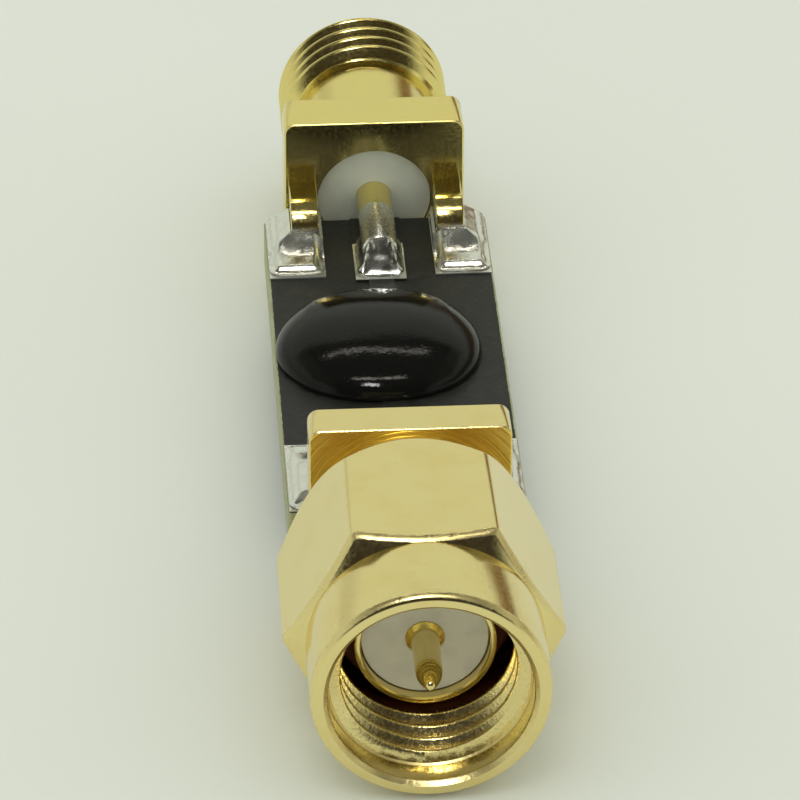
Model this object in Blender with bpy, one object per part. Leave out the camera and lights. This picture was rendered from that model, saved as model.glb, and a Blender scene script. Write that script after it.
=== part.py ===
"""Inline coaxial module: a screw-on plug and a threaded jack on the two ends of a small circuit board.

Units are metres. +Z is up, and +Y runs along the connector axis from the plug to the jack.
The origin is on that axis, half way along the module.
"""

import math

import bmesh
import bpy
from mathutils import Matrix, Vector

# Clearances
SEAT_GAP = 0.02e-3  # between two pieces that rest on or in each other
RUNNING_GAP = 0.06e-3  # between the coupling nut and the pieces that it turns on
NUT_FLOAT = 0.3e-3  # axial play of the captive nut, from end to end
WEB_CLEARANCE = 0.1e-3  # left between the nut's inner web and the gasket, with the nut fully forward

# Circuit board and its copper
BOARD_WIDTH = 8.0e-3
BOARD_LENGTH = 19.5e-3
BOARD_THICKNESS = 1.6e-3
BOARD_CORNER = 0.15e-3
COPPER = 0.05e-3
PAD_MARGIN = 0.05e-3  # bare laminate left outside a pad at the board's edges
PAD_BORDER = 0.1e-3  # bare pad left beyond its solder
GROUND_PAD_INSIDE = 1.95e-3  # from the axis to a ground pad's inner edge
SIGNAL_PAD_WIDTH = 1.8e-3
SIGNAL_LINE_WIDTH = 0.9e-3

# Centre conductors and insulators, alike in both connectors
CONDUCTOR_DIAMETER = 1.27e-3
CONDUCTOR_TAIL = 3.6e-3  # length that lies on the board
TAIL_CHAMFER = 0.12e-3
INSULATOR_DIAMETER = 4.1e-3

# Plug, measured back from the front of its sleeve
SLEEVE_DIAMETER = 4.58e-3
SLEEVE_EDGE = 0.06e-3
SLEEVE_LENGTH = 2.85e-3  # to the shoulder that carries the gasket
JOURNAL_DIAMETER = 5.5e-3
JOURNAL_EDGE = 0.1e-3
PLUG_LENGTH = 7.73e-3  # to the front of the flange
PLUG_FLANGE_WIDTH = 6.7e-3
PLUG_FLANGE_HEIGHT = 6.66e-3
PLUG_FLANGE_THICKNESS = 1.43e-3
PLUG_INSULATOR_RECESS = 0.4e-3
PIN_DIAMETER = 0.9e-3
PIN_REACH = 2.45e-3  # from the sleeve's front to the pin's tip
PIN_POINT_LENGTH = 0.45e-3
PIN_POINT_DIAMETER = 0.36e-3
PIN_SHOULDER = 0.15e-3  # how far the conductor's shoulder stands out of the insulator
GASKET_DIAMETER = 6.1e-3
GASKET_THICKNESS = 0.9e-3

# Coupling nut, measured back from its mouth
NUT_OVERHANG = 3.0e-3  # from the nut's mouth to the sleeve's front
NUT_FLATS = 8.0e-3
NUT_LENGTH = 9.25e-3
NUT_EDGE = 0.12e-3
NUT_REAR_FACE_DIAMETER = 7.8e-3
NUT_CHAMFER_ANGLE = math.radians(30.0)
COLLAR_DIAMETER = 7.7e-3
COLLAR_LENGTH = 3.0e-3
LEAD_IN_DIAMETER = 6.56e-3
LEAD_IN_LENGTH = 1.0e-3
MOUTH_CHAMFER = 0.15e-3
NUT_THREAD_DIAMETER = 6.4e-3  # at the roots of the inside thread
NUT_THREAD_LENGTH = 2.7e-3
RELIEF_DIAMETER = 6.6e-3

# Split ring that holds the nut on the plug
RING_STATION = 4.9e-3  # from the sleeve's front to the middle of the ring
RING_WIDTH = 0.5e-3
RING_SECTION = 0.5e-3
RING_DEPTH = 0.3e-3  # how much of the section lies inside the journal
RING_SPLIT = math.radians(30.0)

# Jack, measured back from the face of its flange that meets the board
JACK_LENGTH = 8.8e-3
JACK_FLANGE_WIDTH = 6.45e-3
JACK_FLANGE_HEIGHT = 6.45e-3
JACK_FLANGE_THICKNESS = 1.9e-3
JACK_INSULATOR_RECESS = 0.32e-3
NECK_DIAMETER = 5.2e-3
NECK_END = 5.6e-3
BARREL_DIAMETER = 6.2e-3  # at the crests of the outside thread
BARREL_CHAMFER = 0.35e-3
THREAD_PITCH = 0.7056e-3
THREAD_DEPTH = 0.38e-3
THREAD_ROOT_SHARE = 0.75  # width of a tooth at its root, as a share of the pitch
THREAD_PEAK_SHARE = 0.06  # and at its peak, before the barrel is turned down to its diameter
THREAD_EXCESS = 0.04e-3  # how far that peak stands out of the barrel
THREAD_BURIAL = 0.15e-3  # how deep a tooth is rooted in the barrel
SOCKET_MOUTH_DIAMETER = 4.6e-3
SOCKET_MOUTH_DEPTH = 1.9e-3
SOCKET_MOUTH_CHAMFER = 0.15e-3
CONTACT_BORE = 0.93e-3
CONTACT_BORE_DEPTH = 2.9e-3
CONTACT_FUNNEL = 0.08e-3
CONTACT_SLOT_WIDTH = 0.16e-3
CONTACT_SLOT_DEPTH = 2.3e-3

# Flanges and the prongs that grip the board
FLANGE_CORNER = 0.4e-3
PRONG_LENGTH = 2.15e-3
PRONG_INSIDE = 2.1e-3  # from the axis to a prong's inner side
PRONG_WIDTH = 1.0e-3
PRONG_RISE = 1.5e-3  # thickness of the upper prongs
PRONG_FOOT = 0.8e-3  # thickness of the lower prongs
PRONG_ROOT = 0.6e-3  # how deep a prong is rooted in its flange

# Solder
SOLDER_REACH = 1.9e-3  # spread beyond the end of a prong
SOLDER_SKIRT = 0.12e-3  # spread towards the axis
SOLDER_LAYER = 0.14e-3  # thickness over the open part of a pad
SOLDER_BEVEL = 0.1e-3  # how far that layer draws in at its edge
SOLDER_SLOPE = 0.5e-3  # reach of the hollow slope round a prong
SOLDER_SLOPE_RISE = 0.22e-3
SOLDER_RISE = 0.62e-3
SOLDER_SKIN = 0.08e-3  # thickness at its top edge
SOLDER_CORNER = 0.2e-3
PIN_SOLDER_REACH = 0.75e-3
PIN_SOLDER_LENGTH = 1.7e-3  # along the conductor
PIN_SOLDER_WAIST = 0.4e-3  # height at which it has drawn in towards the conductor
PIN_SOLDER_SLOPE = 0.3e-3  # reach past the conductor's end at that height
PIN_SOLDER_RISE = 1.15e-3
PIN_SOLDER_CREST = 0.25e-3  # half width at its top

# Parts under the drop of epoxy
CHIP_LENGTH = 1.6e-3
CHIP_WIDTH = 0.8e-3
CHIP_HEIGHT = 0.75e-3
CHIP_CAP_LENGTH = 0.35e-3
CHIP_CAP_PROUD = 0.04e-3
CHIP_SPACING = 4.0e-3  # between the middles of the two series capacitors
DIODE_BODY_LENGTH = 1.2e-3
DIODE_BODY_WIDTH = 0.8e-3
DIODE_BODY_HEIGHT = 0.6e-3
DIODE_LENGTH = 1.6e-3  # over its leads
DIODE_LEAD_WIDTH = 0.3e-3
DIODE_LEAD_THICKNESS = 0.13e-3
DIODE_LEAD_ROOT = 0.25e-3  # how deep a lead is rooted in the body
SHUNT_INSIDE = 0.12e-3  # from the axis to the inner end of a diode or the choke
DIODE_STATION = -0.7e-3  # along the board, from the middle of the epoxy
CHOKE_STATION = 0.75e-3
SHUNT_PAD_MARGIN = 0.3e-3  # copper left beyond their outer ends

# Epoxy drop
EPOXY_WIDTH = 7.2e-3
EPOXY_LENGTH = 7.0e-3
EPOXY_HEIGHT = 1.45e-3
EPOXY_OFFSET = -0.38e-3  # sideways from the board's centre line
EPOXY_STATION = 0.5e-3  # along the board, from its middle towards the jack
EPOXY_SQUARENESS = 2.35  # exponent of the oval outline
EPOXY_FULLNESS = 0.55  # exponent of its upright profile: 1 is an ellipse, less is fuller
EPOXY_CROWN = 0.06  # share of the outline that is left flat on top

# Facets
ROUND_STEPS = 48
FINE_STEPS = 24
THREAD_STEPS = 24
THREAD_PHASE = 0.25  # share of a step that keeps the tooth's facets off the barrel's
OVAL_STEPS = 40
CORNER_STEPS = 3
ROUND_PROFILE = 0.5  # a bevel's profile for a true arc
EPOXY_RINGS = 7
WELD = 1.0e-6
SHARP_ANGLE = math.radians(32.0)
CUT_MARGIN = 0.5e-3  # how far a cutter runs past what it cuts

# Places along the axis, worked out from the sizes above
MODULE_LENGTH = (NUT_OVERHANG + PLUG_LENGTH + PLUG_FLANGE_THICKNESS + SEAT_GAP + BOARD_LENGTH
                 + SEAT_GAP + JACK_LENGTH)
NUT_MOUTH = -MODULE_LENGTH / 2
SLEEVE_FRONT = NUT_MOUTH + NUT_OVERHANG
PLUG_BACK = PLUG_LENGTH + PLUG_FLANGE_THICKNESS
BOARD_MIDDLE = SLEEVE_FRONT + PLUG_BACK + SEAT_GAP + BOARD_LENGTH / 2
JACK_FACE = BOARD_MIDDLE + BOARD_LENGTH / 2 + SEAT_GAP

# Heights, from the conductors' axis at zero
PRONG_SEAT = -CONDUCTOR_DIAMETER / 2
COPPER_SEAT = COPPER + 2 * SEAT_GAP  # from the board to what stands on its copper
BOARD_TOP = PRONG_SEAT - COPPER_SEAT
LOWER_PRONG_SEAT = BOARD_TOP - BOARD_THICKNESS - COPPER_SEAT

INSULATOR_BORE = CONDUCTOR_DIAMETER / 2 + SEAT_GAP
BODY_BORE = INSULATOR_DIAMETER / 2 + SEAT_GAP
RING_INSIDE = JOURNAL_DIAMETER / 2 - RING_DEPTH
RING_OUTSIDE = RING_INSIDE + RING_SECTION
CONDUCTOR_SEAT = CONDUCTOR_DIAMETER / 2 + COPPER_SEAT  # from the board to the conductors' axis

PLUG_END, JACK_END = -1, 1
LEFT, RIGHT = -1, 1
UPPER, LOWER = 1, -1
END_NAMES = {PLUG_END: "plug", JACK_END: "jack"}
SIDE_NAMES = {LEFT: "left", RIGHT: "right"}
FACE_NAMES = {UPPER: "top", LOWER: "bottom"}
PRONG_HEIGHTS = {UPPER: PRONG_RISE, LOWER: PRONG_FOOT}

# Colour, roughness and metallic value of each finish
FINISHES = {
    "bright_gold": ((0.78, 0.60, 0.22), 0.16, 1.0),
    "spring_bronze": ((0.46, 0.27, 0.11), 0.35, 1.0),
    "dark_silicone": ((0.05, 0.012, 0.008), 0.55, 0.0),
    "white_ptfe": ((0.78, 0.78, 0.74), 0.45, 0.0),
    "black_board": ((0.022, 0.024, 0.018), 0.5, 0.0),
    "tinned_copper": ((0.62, 0.63, 0.56), 0.35, 1.0),
    "solder": ((0.66, 0.67, 0.62), 0.25, 1.0),
    "tan_ceramic": ((0.36, 0.23, 0.12), 0.45, 0.0),
    "grey_ferrite": ((0.06, 0.06, 0.065), 0.5, 0.0),
    "moulded_black": ((0.015, 0.015, 0.015), 0.5, 0.0),
    "glossy_epoxy": ((0.008, 0.008, 0.007), 0.08, 0.0),
}


def clear_scene():
    for thing in list(bpy.data.objects):
        bpy.data.objects.remove(thing, do_unlink=True)


def add_datum(name, along, height=0.0):
    """An empty on the axis plane that carries the pieces measured from it."""
    datum = bpy.data.objects.new(name, None)
    datum.location = (0.0, along, height)
    bpy.context.scene.collection.objects.link(datum)
    return datum


def add_object(name, bm, datum):
    bm.normal_update()
    bmesh.ops.recalc_face_normals(bm, faces=bm.faces)
    mesh = bpy.data.meshes.new(name)
    bm.to_mesh(mesh)
    bm.free()
    mesh.shade_smooth()
    mesh.set_sharp_from_angle(angle=SHARP_ANGLE)
    thing = bpy.data.objects.new(name, mesh)
    thing.parent = datum
    bpy.context.scene.collection.objects.link(thing)
    return thing


def add_piece(name, bm, datum, finish):
    piece = add_object(name, bm, datum)
    colour, roughness, metallic = FINISHES[finish]
    material = bpy.data.materials.new(f"{name}_{finish}")
    material.use_nodes = True
    shader = material.node_tree.nodes["Principled BSDF"]
    shader.inputs["Base Color"].default_value = (*colour, 1.0)
    shader.inputs["Roughness"].default_value = roughness
    shader.inputs["Metallic"].default_value = metallic
    piece.data.materials.append(material)
    return piece


def combine(piece, operation, tool_name, bm):
    """Joins, cuts or trims a piece with a hidden tool shape."""
    tool = add_object(tool_name, bm, piece.parent)
    tool.hide_render = True
    tool.display_type = "WIRE"
    step = piece.modifiers.new(tool_name, "BOOLEAN")
    step.operation = operation
    step.object = tool
    return tool


def turned(profile, steps=ROUND_STEPS, sweep=math.tau):
    """Turns (radius, along) points about the Y axis. A solid's profile starts and ends on that axis."""
    bm = bmesh.new()
    points = [bm.verts.new((radius, along, 0.0)) for radius, along in profile]
    edges = [bm.edges.new(pair) for pair in zip(points, points[1:])]
    on_axis = profile[0][0] == 0.0
    if not on_axis:
        edges.append(bm.edges.new((points[-1], points[0])))
    whole_turn = sweep == math.tau
    swept = points + edges
    if not whole_turn:
        swept.append(bm.faces.new(points))
    bmesh.ops.spin(bm, geom=swept, cent=(0, 0, 0), axis=(0, 1, 0), angle=sweep, steps=steps,
                   use_merge=whole_turn)
    bmesh.ops.remove_doubles(bm, verts=bm.verts, dist=WELD)
    return bm


def blocks(*boxes):
    """Rectangular blocks, each from its lowest corner to its highest."""
    bm = bmesh.new()
    for low, high in boxes:
        low, high = Vector(low), Vector(high)
        made = bmesh.ops.create_cube(bm, size=1.0)["verts"]
        bmesh.ops.scale(bm, vec=high - low, verts=made)
        bmesh.ops.translate(bm, vec=(low + high) / 2, verts=made)
    return bm


def round_edges(bm, axis, radius):
    """Rounds the edges of a block that run along one axis."""
    along = []
    for edge in bm.edges:
        step = edge.verts[1].co - edge.verts[0].co
        if abs(step[axis]) > step.length / 2:
            along.append(edge)
    bmesh.ops.bevel(bm, geom=along, offset=radius, segments=CORNER_STEPS, profile=ROUND_PROFILE,
                    affect="EDGES")
    return bm


def loft(rings):
    """A closed solid through rings of points, from the lowest to the highest."""
    bm = bmesh.new()
    loops = [[bm.verts.new(point) for point in ring] for ring in rings]
    for lower, upper in zip(loops, loops[1:]):
        count = len(lower)
        for index in range(count):
            after = (index + 1) % count
            bm.faces.new((lower[index], lower[after], upper[after], upper[index]))
    bm.faces.new(loops[0])
    bm.faces.new(loops[-1])
    return bm


def wound_tooth(root, start, end):
    """The tooth of a right-hand thread, wound about the Y axis on a barrel of the root's radius."""
    peak, foot = root + THREAD_DEPTH + THREAD_EXCESS, root - THREAD_BURIAL
    half_root, half_peak = THREAD_PITCH * THREAD_ROOT_SHARE / 2, THREAD_PITCH * THREAD_PEAK_SHARE / 2
    section = ((foot, -half_root), (root, -half_root), (peak, -half_peak),
               (peak, half_peak), (root, half_root), (foot, half_root))
    rings = []
    for step in range(math.ceil((end - start) / THREAD_PITCH * THREAD_STEPS) + 1):
        turn = (step + THREAD_PHASE) / THREAD_STEPS * math.tau
        along = start + step / THREAD_STEPS * THREAD_PITCH
        rings.append([(radius * math.sin(turn), along + across, radius * math.cos(turn))
                      for radius, across in section])
    bm = loft(rings)
    bmesh.ops.triangulate(bm, faces=bm.faces)
    return bm


def rounded_rectangle(low, high, height, radius):
    """Points round a rectangle with quarter-circle corners."""
    corners = ((high[0], high[1], 1, 1), (low[0], high[1], -1, 1),
               (low[0], low[1], -1, -1), (high[0], low[1], 1, -1))
    points = []
    for quarter, (x, y, x_sign, y_sign) in enumerate(corners):
        for step in range(CORNER_STEPS + 1):
            turn = (quarter + step / CORNER_STEPS) * math.pi / 2
            points.append((x - radius * x_sign + radius * math.cos(turn),
                           y - radius * y_sign + radius * math.sin(turn), height))
    return points


def outline(points, low, high):
    """A flat outline, extruded from one height to another."""
    return loft([[(x, y, height) for x, y in points] for height in (low, high)])


def end_frame(end):
    """Measures x across the board, y in from one of its ends and z up from its top."""
    return Matrix.Translation((0.0, end * BOARD_LENGTH / 2, 0.0)) @ Matrix.Diagonal((1, -end, 1, 1))


def corner_frame(end, side, face):
    """Measures x out from the centre line, y in from an end and z away from one face of the board."""
    base = 0.0 if face == UPPER else -BOARD_THICKNESS
    return (Matrix.Translation((0.0, end * BOARD_LENGTH / 2, base))
            @ Matrix.Diagonal((side, -end, face, 1)))


def moved(bm, frame):
    bm.transform(frame)
    return bm


def corners():
    """Every place where a prong grips the board, with the name of that place."""
    for end in (PLUG_END, JACK_END):
        for face in (UPPER, LOWER):
            for side in (LEFT, RIGHT):
                yield end, side, face, f"{END_NAMES[end]}_{FACE_NAMES[face]}_{SIDE_NAMES[side]}"


def flange(width, height, thickness, front):
    low = (-width / 2, front, -height / 2)
    high = (width / 2, front + thickness, height / 2)
    return round_edges(blocks((low, high)), 1, FLANGE_CORNER)


def prongs(face, towards):
    """Two prongs above the board and two below it, rooted in a flange."""
    root, tip = sorted((face - towards * PRONG_ROOT, face + towards * PRONG_LENGTH))
    boxes = []
    for side in (LEFT, RIGHT):
        inner, outer = sorted((side * PRONG_INSIDE, side * (PRONG_INSIDE + PRONG_WIDTH)))
        boxes.append(((inner, root, PRONG_SEAT), (outer, tip, PRONG_SEAT + PRONG_RISE)))
        boxes.append(((inner, root, LOWER_PRONG_SEAT - PRONG_FOOT), (outer, tip, LOWER_PRONG_SEAT)))
    return blocks(*boxes)


def make_plug(datum):
    sleeve, journal = SLEEVE_DIAMETER / 2, JOURNAL_DIAMETER / 2
    groove_half = (RING_WIDTH + NUT_FLOAT) / 2 + RUNNING_GAP
    groove_floor = RING_INSIDE - RUNNING_GAP
    inside_flange = PLUG_LENGTH + PLUG_FLANGE_THICKNESS / 2
    body = add_piece("plug_body", turned([
        (0.0, 0.0),
        (sleeve - SLEEVE_EDGE, 0.0),
        (sleeve, SLEEVE_EDGE),
        (sleeve, SLEEVE_LENGTH),
        (journal - JOURNAL_EDGE, SLEEVE_LENGTH),
        (journal, SLEEVE_LENGTH + JOURNAL_EDGE),
        (journal, RING_STATION - groove_half),
        (groove_floor, RING_STATION - groove_half),
        (groove_floor, RING_STATION + groove_half),
        (journal, RING_STATION + groove_half),
        (journal, inside_flange),
        (0.0, inside_flange),
    ]), datum, "bright_gold")
    combine(body, "UNION", "plug_flange_tool",
            flange(PLUG_FLANGE_WIDTH, PLUG_FLANGE_HEIGHT, PLUG_FLANGE_THICKNESS, PLUG_LENGTH))
    combine(body, "UNION", "plug_prong_tool", prongs(PLUG_BACK, 1))
    combine(body, "DIFFERENCE", "plug_bore_tool", turned([
        (0.0, -CUT_MARGIN),
        (BODY_BORE, -CUT_MARGIN),
        (BODY_BORE, PLUG_BACK + CUT_MARGIN),
        (0.0, PLUG_BACK + CUT_MARGIN),
    ]))

    add_piece("plug_insulator", turned([
        (INSULATOR_BORE, PLUG_INSULATOR_RECESS),
        (INSULATOR_DIAMETER / 2, PLUG_INSULATOR_RECESS),
        (INSULATOR_DIAMETER / 2, PLUG_BACK),
        (INSULATOR_BORE, PLUG_BACK),
    ]), datum, "white_ptfe")

    conductor, pin = CONDUCTOR_DIAMETER / 2, PIN_DIAMETER / 2
    shoulder = PLUG_INSULATOR_RECESS - PIN_SHOULDER
    tail_end = PLUG_BACK + SEAT_GAP + CONDUCTOR_TAIL
    add_piece("plug_centre_pin", turned([
        (0.0, -PIN_REACH),
        (PIN_POINT_DIAMETER / 2, -PIN_REACH),
        (pin, -PIN_REACH + PIN_POINT_LENGTH),
        (pin, shoulder),
        (conductor, shoulder),
        (conductor, tail_end - TAIL_CHAMFER),
        (conductor - TAIL_CHAMFER, tail_end),
        (0.0, tail_end),
    ], FINE_STEPS), datum, "bright_gold")

    gasket_back = SLEEVE_LENGTH - SEAT_GAP
    gasket_inside = sleeve + SEAT_GAP
    add_piece("gasket", turned([
        (gasket_inside, gasket_back - GASKET_THICKNESS),
        (GASKET_DIAMETER / 2, gasket_back - GASKET_THICKNESS),
        (GASKET_DIAMETER / 2, gasket_back),
        (gasket_inside, gasket_back),
    ]), datum, "dark_silicone")


def make_coupling_nut(datum):
    """Hexagon bar with a turned collar in front, a chamfer behind and the ring's groove in its bore."""
    collar, lead_in = COLLAR_DIAMETER / 2, LEAD_IN_DIAMETER / 2
    thread, relief = NUT_THREAD_DIAMETER / 2, RELIEF_DIAMETER / 2
    bore = JOURNAL_DIAMETER / 2 + RUNNING_GAP
    corner_radius = NUT_FLATS / math.sqrt(3)
    blank = corner_radius + CUT_MARGIN
    rear_face = NUT_REAR_FACE_DIAMETER / 2
    chamfer_length = (blank - rear_face) / math.tan(NUT_CHAMFER_ANGLE)
    thread_end = LEAD_IN_LENGTH + NUT_THREAD_LENGTH
    web = NUT_OVERHANG + SLEEVE_LENGTH + NUT_FLOAT / 2 + WEB_CLEARANCE
    ring = NUT_OVERHANG + RING_STATION
    groove_half = RING_WIDTH / 2 + RUNNING_GAP
    groove_floor = RING_OUTSIDE + RUNNING_GAP
    nut = add_piece("coupling_nut", turned([
        (lead_in + MOUTH_CHAMFER, 0.0),
        (collar - NUT_EDGE, 0.0),
        (collar, NUT_EDGE),
        (collar, COLLAR_LENGTH),
        (blank, COLLAR_LENGTH),
        (blank, NUT_LENGTH - chamfer_length),
        (rear_face, NUT_LENGTH),
        (bore, NUT_LENGTH),
        (bore, ring + groove_half),
        (groove_floor, ring + groove_half),
        (groove_floor, ring - groove_half),
        (bore, ring - groove_half),
        (bore, web),
        (relief, web),
        (relief, thread_end),
        (thread, thread_end),
        (thread, LEAD_IN_LENGTH),
        (lead_in, LEAD_IN_LENGTH),
        (lead_in, MOUTH_CHAMFER),
    ]), datum, "bright_gold")
    bar = bmesh.new()
    bmesh.ops.create_cone(bar, cap_ends=True, segments=6, radius1=corner_radius, radius2=corner_radius,
                          depth=NUT_LENGTH + 2 * CUT_MARGIN)
    bmesh.ops.rotate(bar, verts=bar.verts, matrix=Matrix.Rotation(math.pi / 2, 3, "Z"))
    bmesh.ops.rotate(bar, verts=bar.verts, matrix=Matrix.Rotation(math.pi / 2, 3, "X"))
    bmesh.ops.translate(bar, verts=bar.verts, vec=(0.0, NUT_LENGTH / 2, 0.0))
    combine(nut, "INTERSECT", "hexagon_bar_tool", bar)

    split = turned([
        (RING_INSIDE, ring - RING_WIDTH / 2),
        (RING_OUTSIDE, ring - RING_WIDTH / 2),
        (RING_OUTSIDE, ring + RING_WIDTH / 2),
        (RING_INSIDE, ring + RING_WIDTH / 2),
    ], sweep=math.tau - RING_SPLIT)
    add_piece("retaining_ring", split, datum, "spring_bronze")


def make_jack(datum):
    neck, barrel = NECK_DIAMETER / 2, BARREL_DIAMETER / 2
    core = barrel - THREAD_DEPTH
    mouth = SOCKET_MOUTH_DIAMETER / 2
    reference = JACK_LENGTH - SOCKET_MOUTH_DEPTH
    inside_flange = JACK_FLANGE_THICKNESS / 2
    past_end = JACK_LENGTH + CUT_MARGIN
    body = add_piece("jack_body", turned([
        (0.0, inside_flange),
        (neck, inside_flange),
        (neck, NECK_END),
        (core, NECK_END),
        (core, JACK_LENGTH),
        (0.0, JACK_LENGTH),
    ]), datum, "bright_gold")
    combine(body, "UNION", "jack_flange_tool",
            flange(JACK_FLANGE_WIDTH, JACK_FLANGE_HEIGHT, JACK_FLANGE_THICKNESS, 0.0))
    combine(body, "UNION", "jack_prong_tool", prongs(0.0, -1))
    combine(body, "DIFFERENCE", "jack_bore_tool", turned([
        (0.0, -CUT_MARGIN),
        (BODY_BORE, -CUT_MARGIN),
        (BODY_BORE, reference),
        (mouth, reference),
        (mouth, JACK_LENGTH - SOCKET_MOUTH_CHAMFER),
        (mouth + SOCKET_MOUTH_CHAMFER + CUT_MARGIN, past_end),
        (0.0, past_end),
    ]))
    thread_start, thread_end = NECK_END + SEAT_GAP, JACK_LENGTH - SEAT_GAP
    tooth = combine(body, "UNION", "jack_thread_tool",
                    wound_tooth(core, thread_start - THREAD_PITCH, thread_end + THREAD_PITCH))
    combine(tooth, "INTERSECT", "barrel_tool", turned([
        (0.0, thread_start),
        (barrel - BARREL_CHAMFER, thread_start),
        (barrel, thread_start + BARREL_CHAMFER),
        (barrel, thread_end - BARREL_CHAMFER),
        (barrel - BARREL_CHAMFER, thread_end),
        (0.0, thread_end),
    ]))

    add_piece("jack_insulator", turned([
        (INSULATOR_BORE, JACK_INSULATOR_RECESS),
        (INSULATOR_DIAMETER / 2, JACK_INSULATOR_RECESS),
        (INSULATOR_DIAMETER / 2, reference),
        (INSULATOR_BORE, reference),
    ]), datum, "white_ptfe")

    conductor, bore = CONDUCTOR_DIAMETER / 2, CONTACT_BORE / 2
    tail_end = -SEAT_GAP - CONDUCTOR_TAIL
    contact = add_piece("jack_centre_contact", turned([
        (0.0, tail_end),
        (conductor - TAIL_CHAMFER, tail_end),
        (conductor, tail_end + TAIL_CHAMFER),
        (conductor, reference),
        (bore + CONTACT_FUNNEL, reference),
        (bore, reference - CONTACT_FUNNEL),
        (bore, reference - CONTACT_BORE_DEPTH),
        (0.0, reference - CONTACT_BORE_DEPTH),
    ], FINE_STEPS), datum, "bright_gold")
    half, wide = CONTACT_SLOT_WIDTH / 2, CONDUCTOR_DIAMETER
    slot_floor = reference - CONTACT_SLOT_DEPTH
    slot_end = reference + CUT_MARGIN
    combine(contact, "DIFFERENCE", "upright_slot_tool",
            blocks(((-half, slot_floor, -wide), (half, slot_end, wide))))
    combine(contact, "DIFFERENCE", "level_slot_tool",
            blocks(((-wide, slot_floor, -half), (wide, slot_end, half))))


def make_board(datum):
    low = (-BOARD_WIDTH / 2, -BOARD_LENGTH / 2, -BOARD_THICKNESS)
    high = (BOARD_WIDTH / 2, BOARD_LENGTH / 2, 0.0)
    add_piece("circuit_board", round_edges(blocks((low, high)), 2, BOARD_CORNER), datum, "black_board")


def make_ground_pads(datum):
    for end, side, face, place in corners():
        length = PRONG_LENGTH + SOLDER_REACH + PAD_BORDER
        low = (GROUND_PAD_INSIDE, PAD_MARGIN, SEAT_GAP)
        high = (BOARD_WIDTH / 2 - PAD_MARGIN, length, SEAT_GAP + COPPER)
        pad = moved(blocks((low, high)), corner_frame(end, side, face))
        add_piece(f"pad_{place}", pad, datum, "tinned_copper")


def make_prong_solder(datum):
    """A thin layer over each pad that climbs the prong in a hollow slope."""
    inner = PRONG_INSIDE - SEAT_GAP
    outer = PRONG_INSIDE + PRONG_WIDTH + SEAT_GAP
    tip = PRONG_LENGTH + SEAT_GAP
    pad_outer = BOARD_WIDTH / 2 - PAD_MARGIN
    pad_tip = PRONG_LENGTH + SOLDER_REACH
    slope_outer = min(outer + SOLDER_SLOPE, pad_outer - SOLDER_BEVEL)
    rings = (
        (inner - SOLDER_SKIRT, pad_outer, pad_tip, 0.0),
        (inner - SOLDER_SKIN, pad_outer - SOLDER_BEVEL, pad_tip - SOLDER_BEVEL, SOLDER_LAYER),
        (inner - SOLDER_SKIN, slope_outer, tip + SOLDER_SLOPE, SOLDER_SLOPE_RISE),
        (inner - SOLDER_SKIN, outer + SOLDER_SKIN, tip + SOLDER_SKIN, SOLDER_RISE),
    )
    for end, side, face, place in corners():
        joint = loft([
            rounded_rectangle((low, SEAT_GAP), (high, stop), COPPER_SEAT + rise, SOLDER_CORNER)
            for low, high, stop, rise in rings])
        prong = blocks(((inner, -CUT_MARGIN, 0.0), (outer, tip, COPPER_SEAT + PRONG_HEIGHTS[face])))
        frame = corner_frame(end, side, face)
        piece = add_piece(f"solder_{place}", moved(joint, frame), datum, "solder")
        combine(piece, "DIFFERENCE", f"prong_tool_{place}", moved(prong, frame))


def make_pin_solder(datum):
    """Solder that climbs the end of each centre conductor from the pad under it."""
    half_pad = SIGNAL_PAD_WIDTH / 2 - PAD_MARGIN
    start = CONDUCTOR_TAIL - PIN_SOLDER_LENGTH
    tip = CONDUCTOR_TAIL + SEAT_GAP
    rings = (
        (half_pad, CONDUCTOR_TAIL + PIN_SOLDER_REACH, 0.0),
        ((half_pad + CONDUCTOR_DIAMETER / 2) / 2, tip + PIN_SOLDER_SLOPE, PIN_SOLDER_WAIST),
        (PIN_SOLDER_CREST, tip + SOLDER_SKIN, PIN_SOLDER_RISE),
    )
    for end, name in END_NAMES.items():
        joint = loft([
            rounded_rectangle((-half, start), (half, stop), COPPER_SEAT + rise, SOLDER_CORNER)
            for half, stop, rise in rings])
        piece = add_piece(f"solder_{name}_pin", moved(joint, end_frame(end)), datum, "solder")
        tail = turned([
            (0.0, -CUT_MARGIN),
            (INSULATOR_BORE, -CUT_MARGIN),
            (INSULATOR_BORE, tip),
            (0.0, tip),
        ], FINE_STEPS)
        tail.transform(Matrix.Translation((0.0, 0.0, CONDUCTOR_SEAT)))
        combine(piece, "DIFFERENCE", f"tail_tool_{name}", moved(tail, end_frame(end)))


def make_signal_lines(datum):
    """A line from each connector to the first cap of its capacitor, and one between the two capacitors."""
    outer_cap = CHIP_SPACING / 2 + CHIP_LENGTH / 2 - CHIP_CAP_LENGTH
    inner_cap = CHIP_SPACING / 2 - CHIP_LENGTH / 2 + CHIP_CAP_LENGTH
    pad, line = SIGNAL_PAD_WIDTH / 2, SIGNAL_LINE_WIDTH / 2
    low, high = SEAT_GAP, SEAT_GAP + COPPER
    pad_end = CONDUCTOR_TAIL + PIN_SOLDER_REACH + PAD_BORDER
    for end, name in ((PLUG_END, "signal_line_in"), (JACK_END, "signal_line_out")):
        line_end = BOARD_LENGTH / 2 - end * EPOXY_STATION - outer_cap
        half = [(pad, PAD_MARGIN), (pad, pad_end), (line, pad_end), (line, line_end)]
        points = half + [(-x, y) for x, y in reversed(half)]
        add_piece(name, moved(outline(points, low, high), end_frame(end)), datum, "tinned_copper")
    middle = blocks(((-line, EPOXY_STATION - inner_cap, low), (line, EPOXY_STATION + inner_cap, high)))
    add_piece("signal_line_middle", middle, datum, "tinned_copper")


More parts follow.
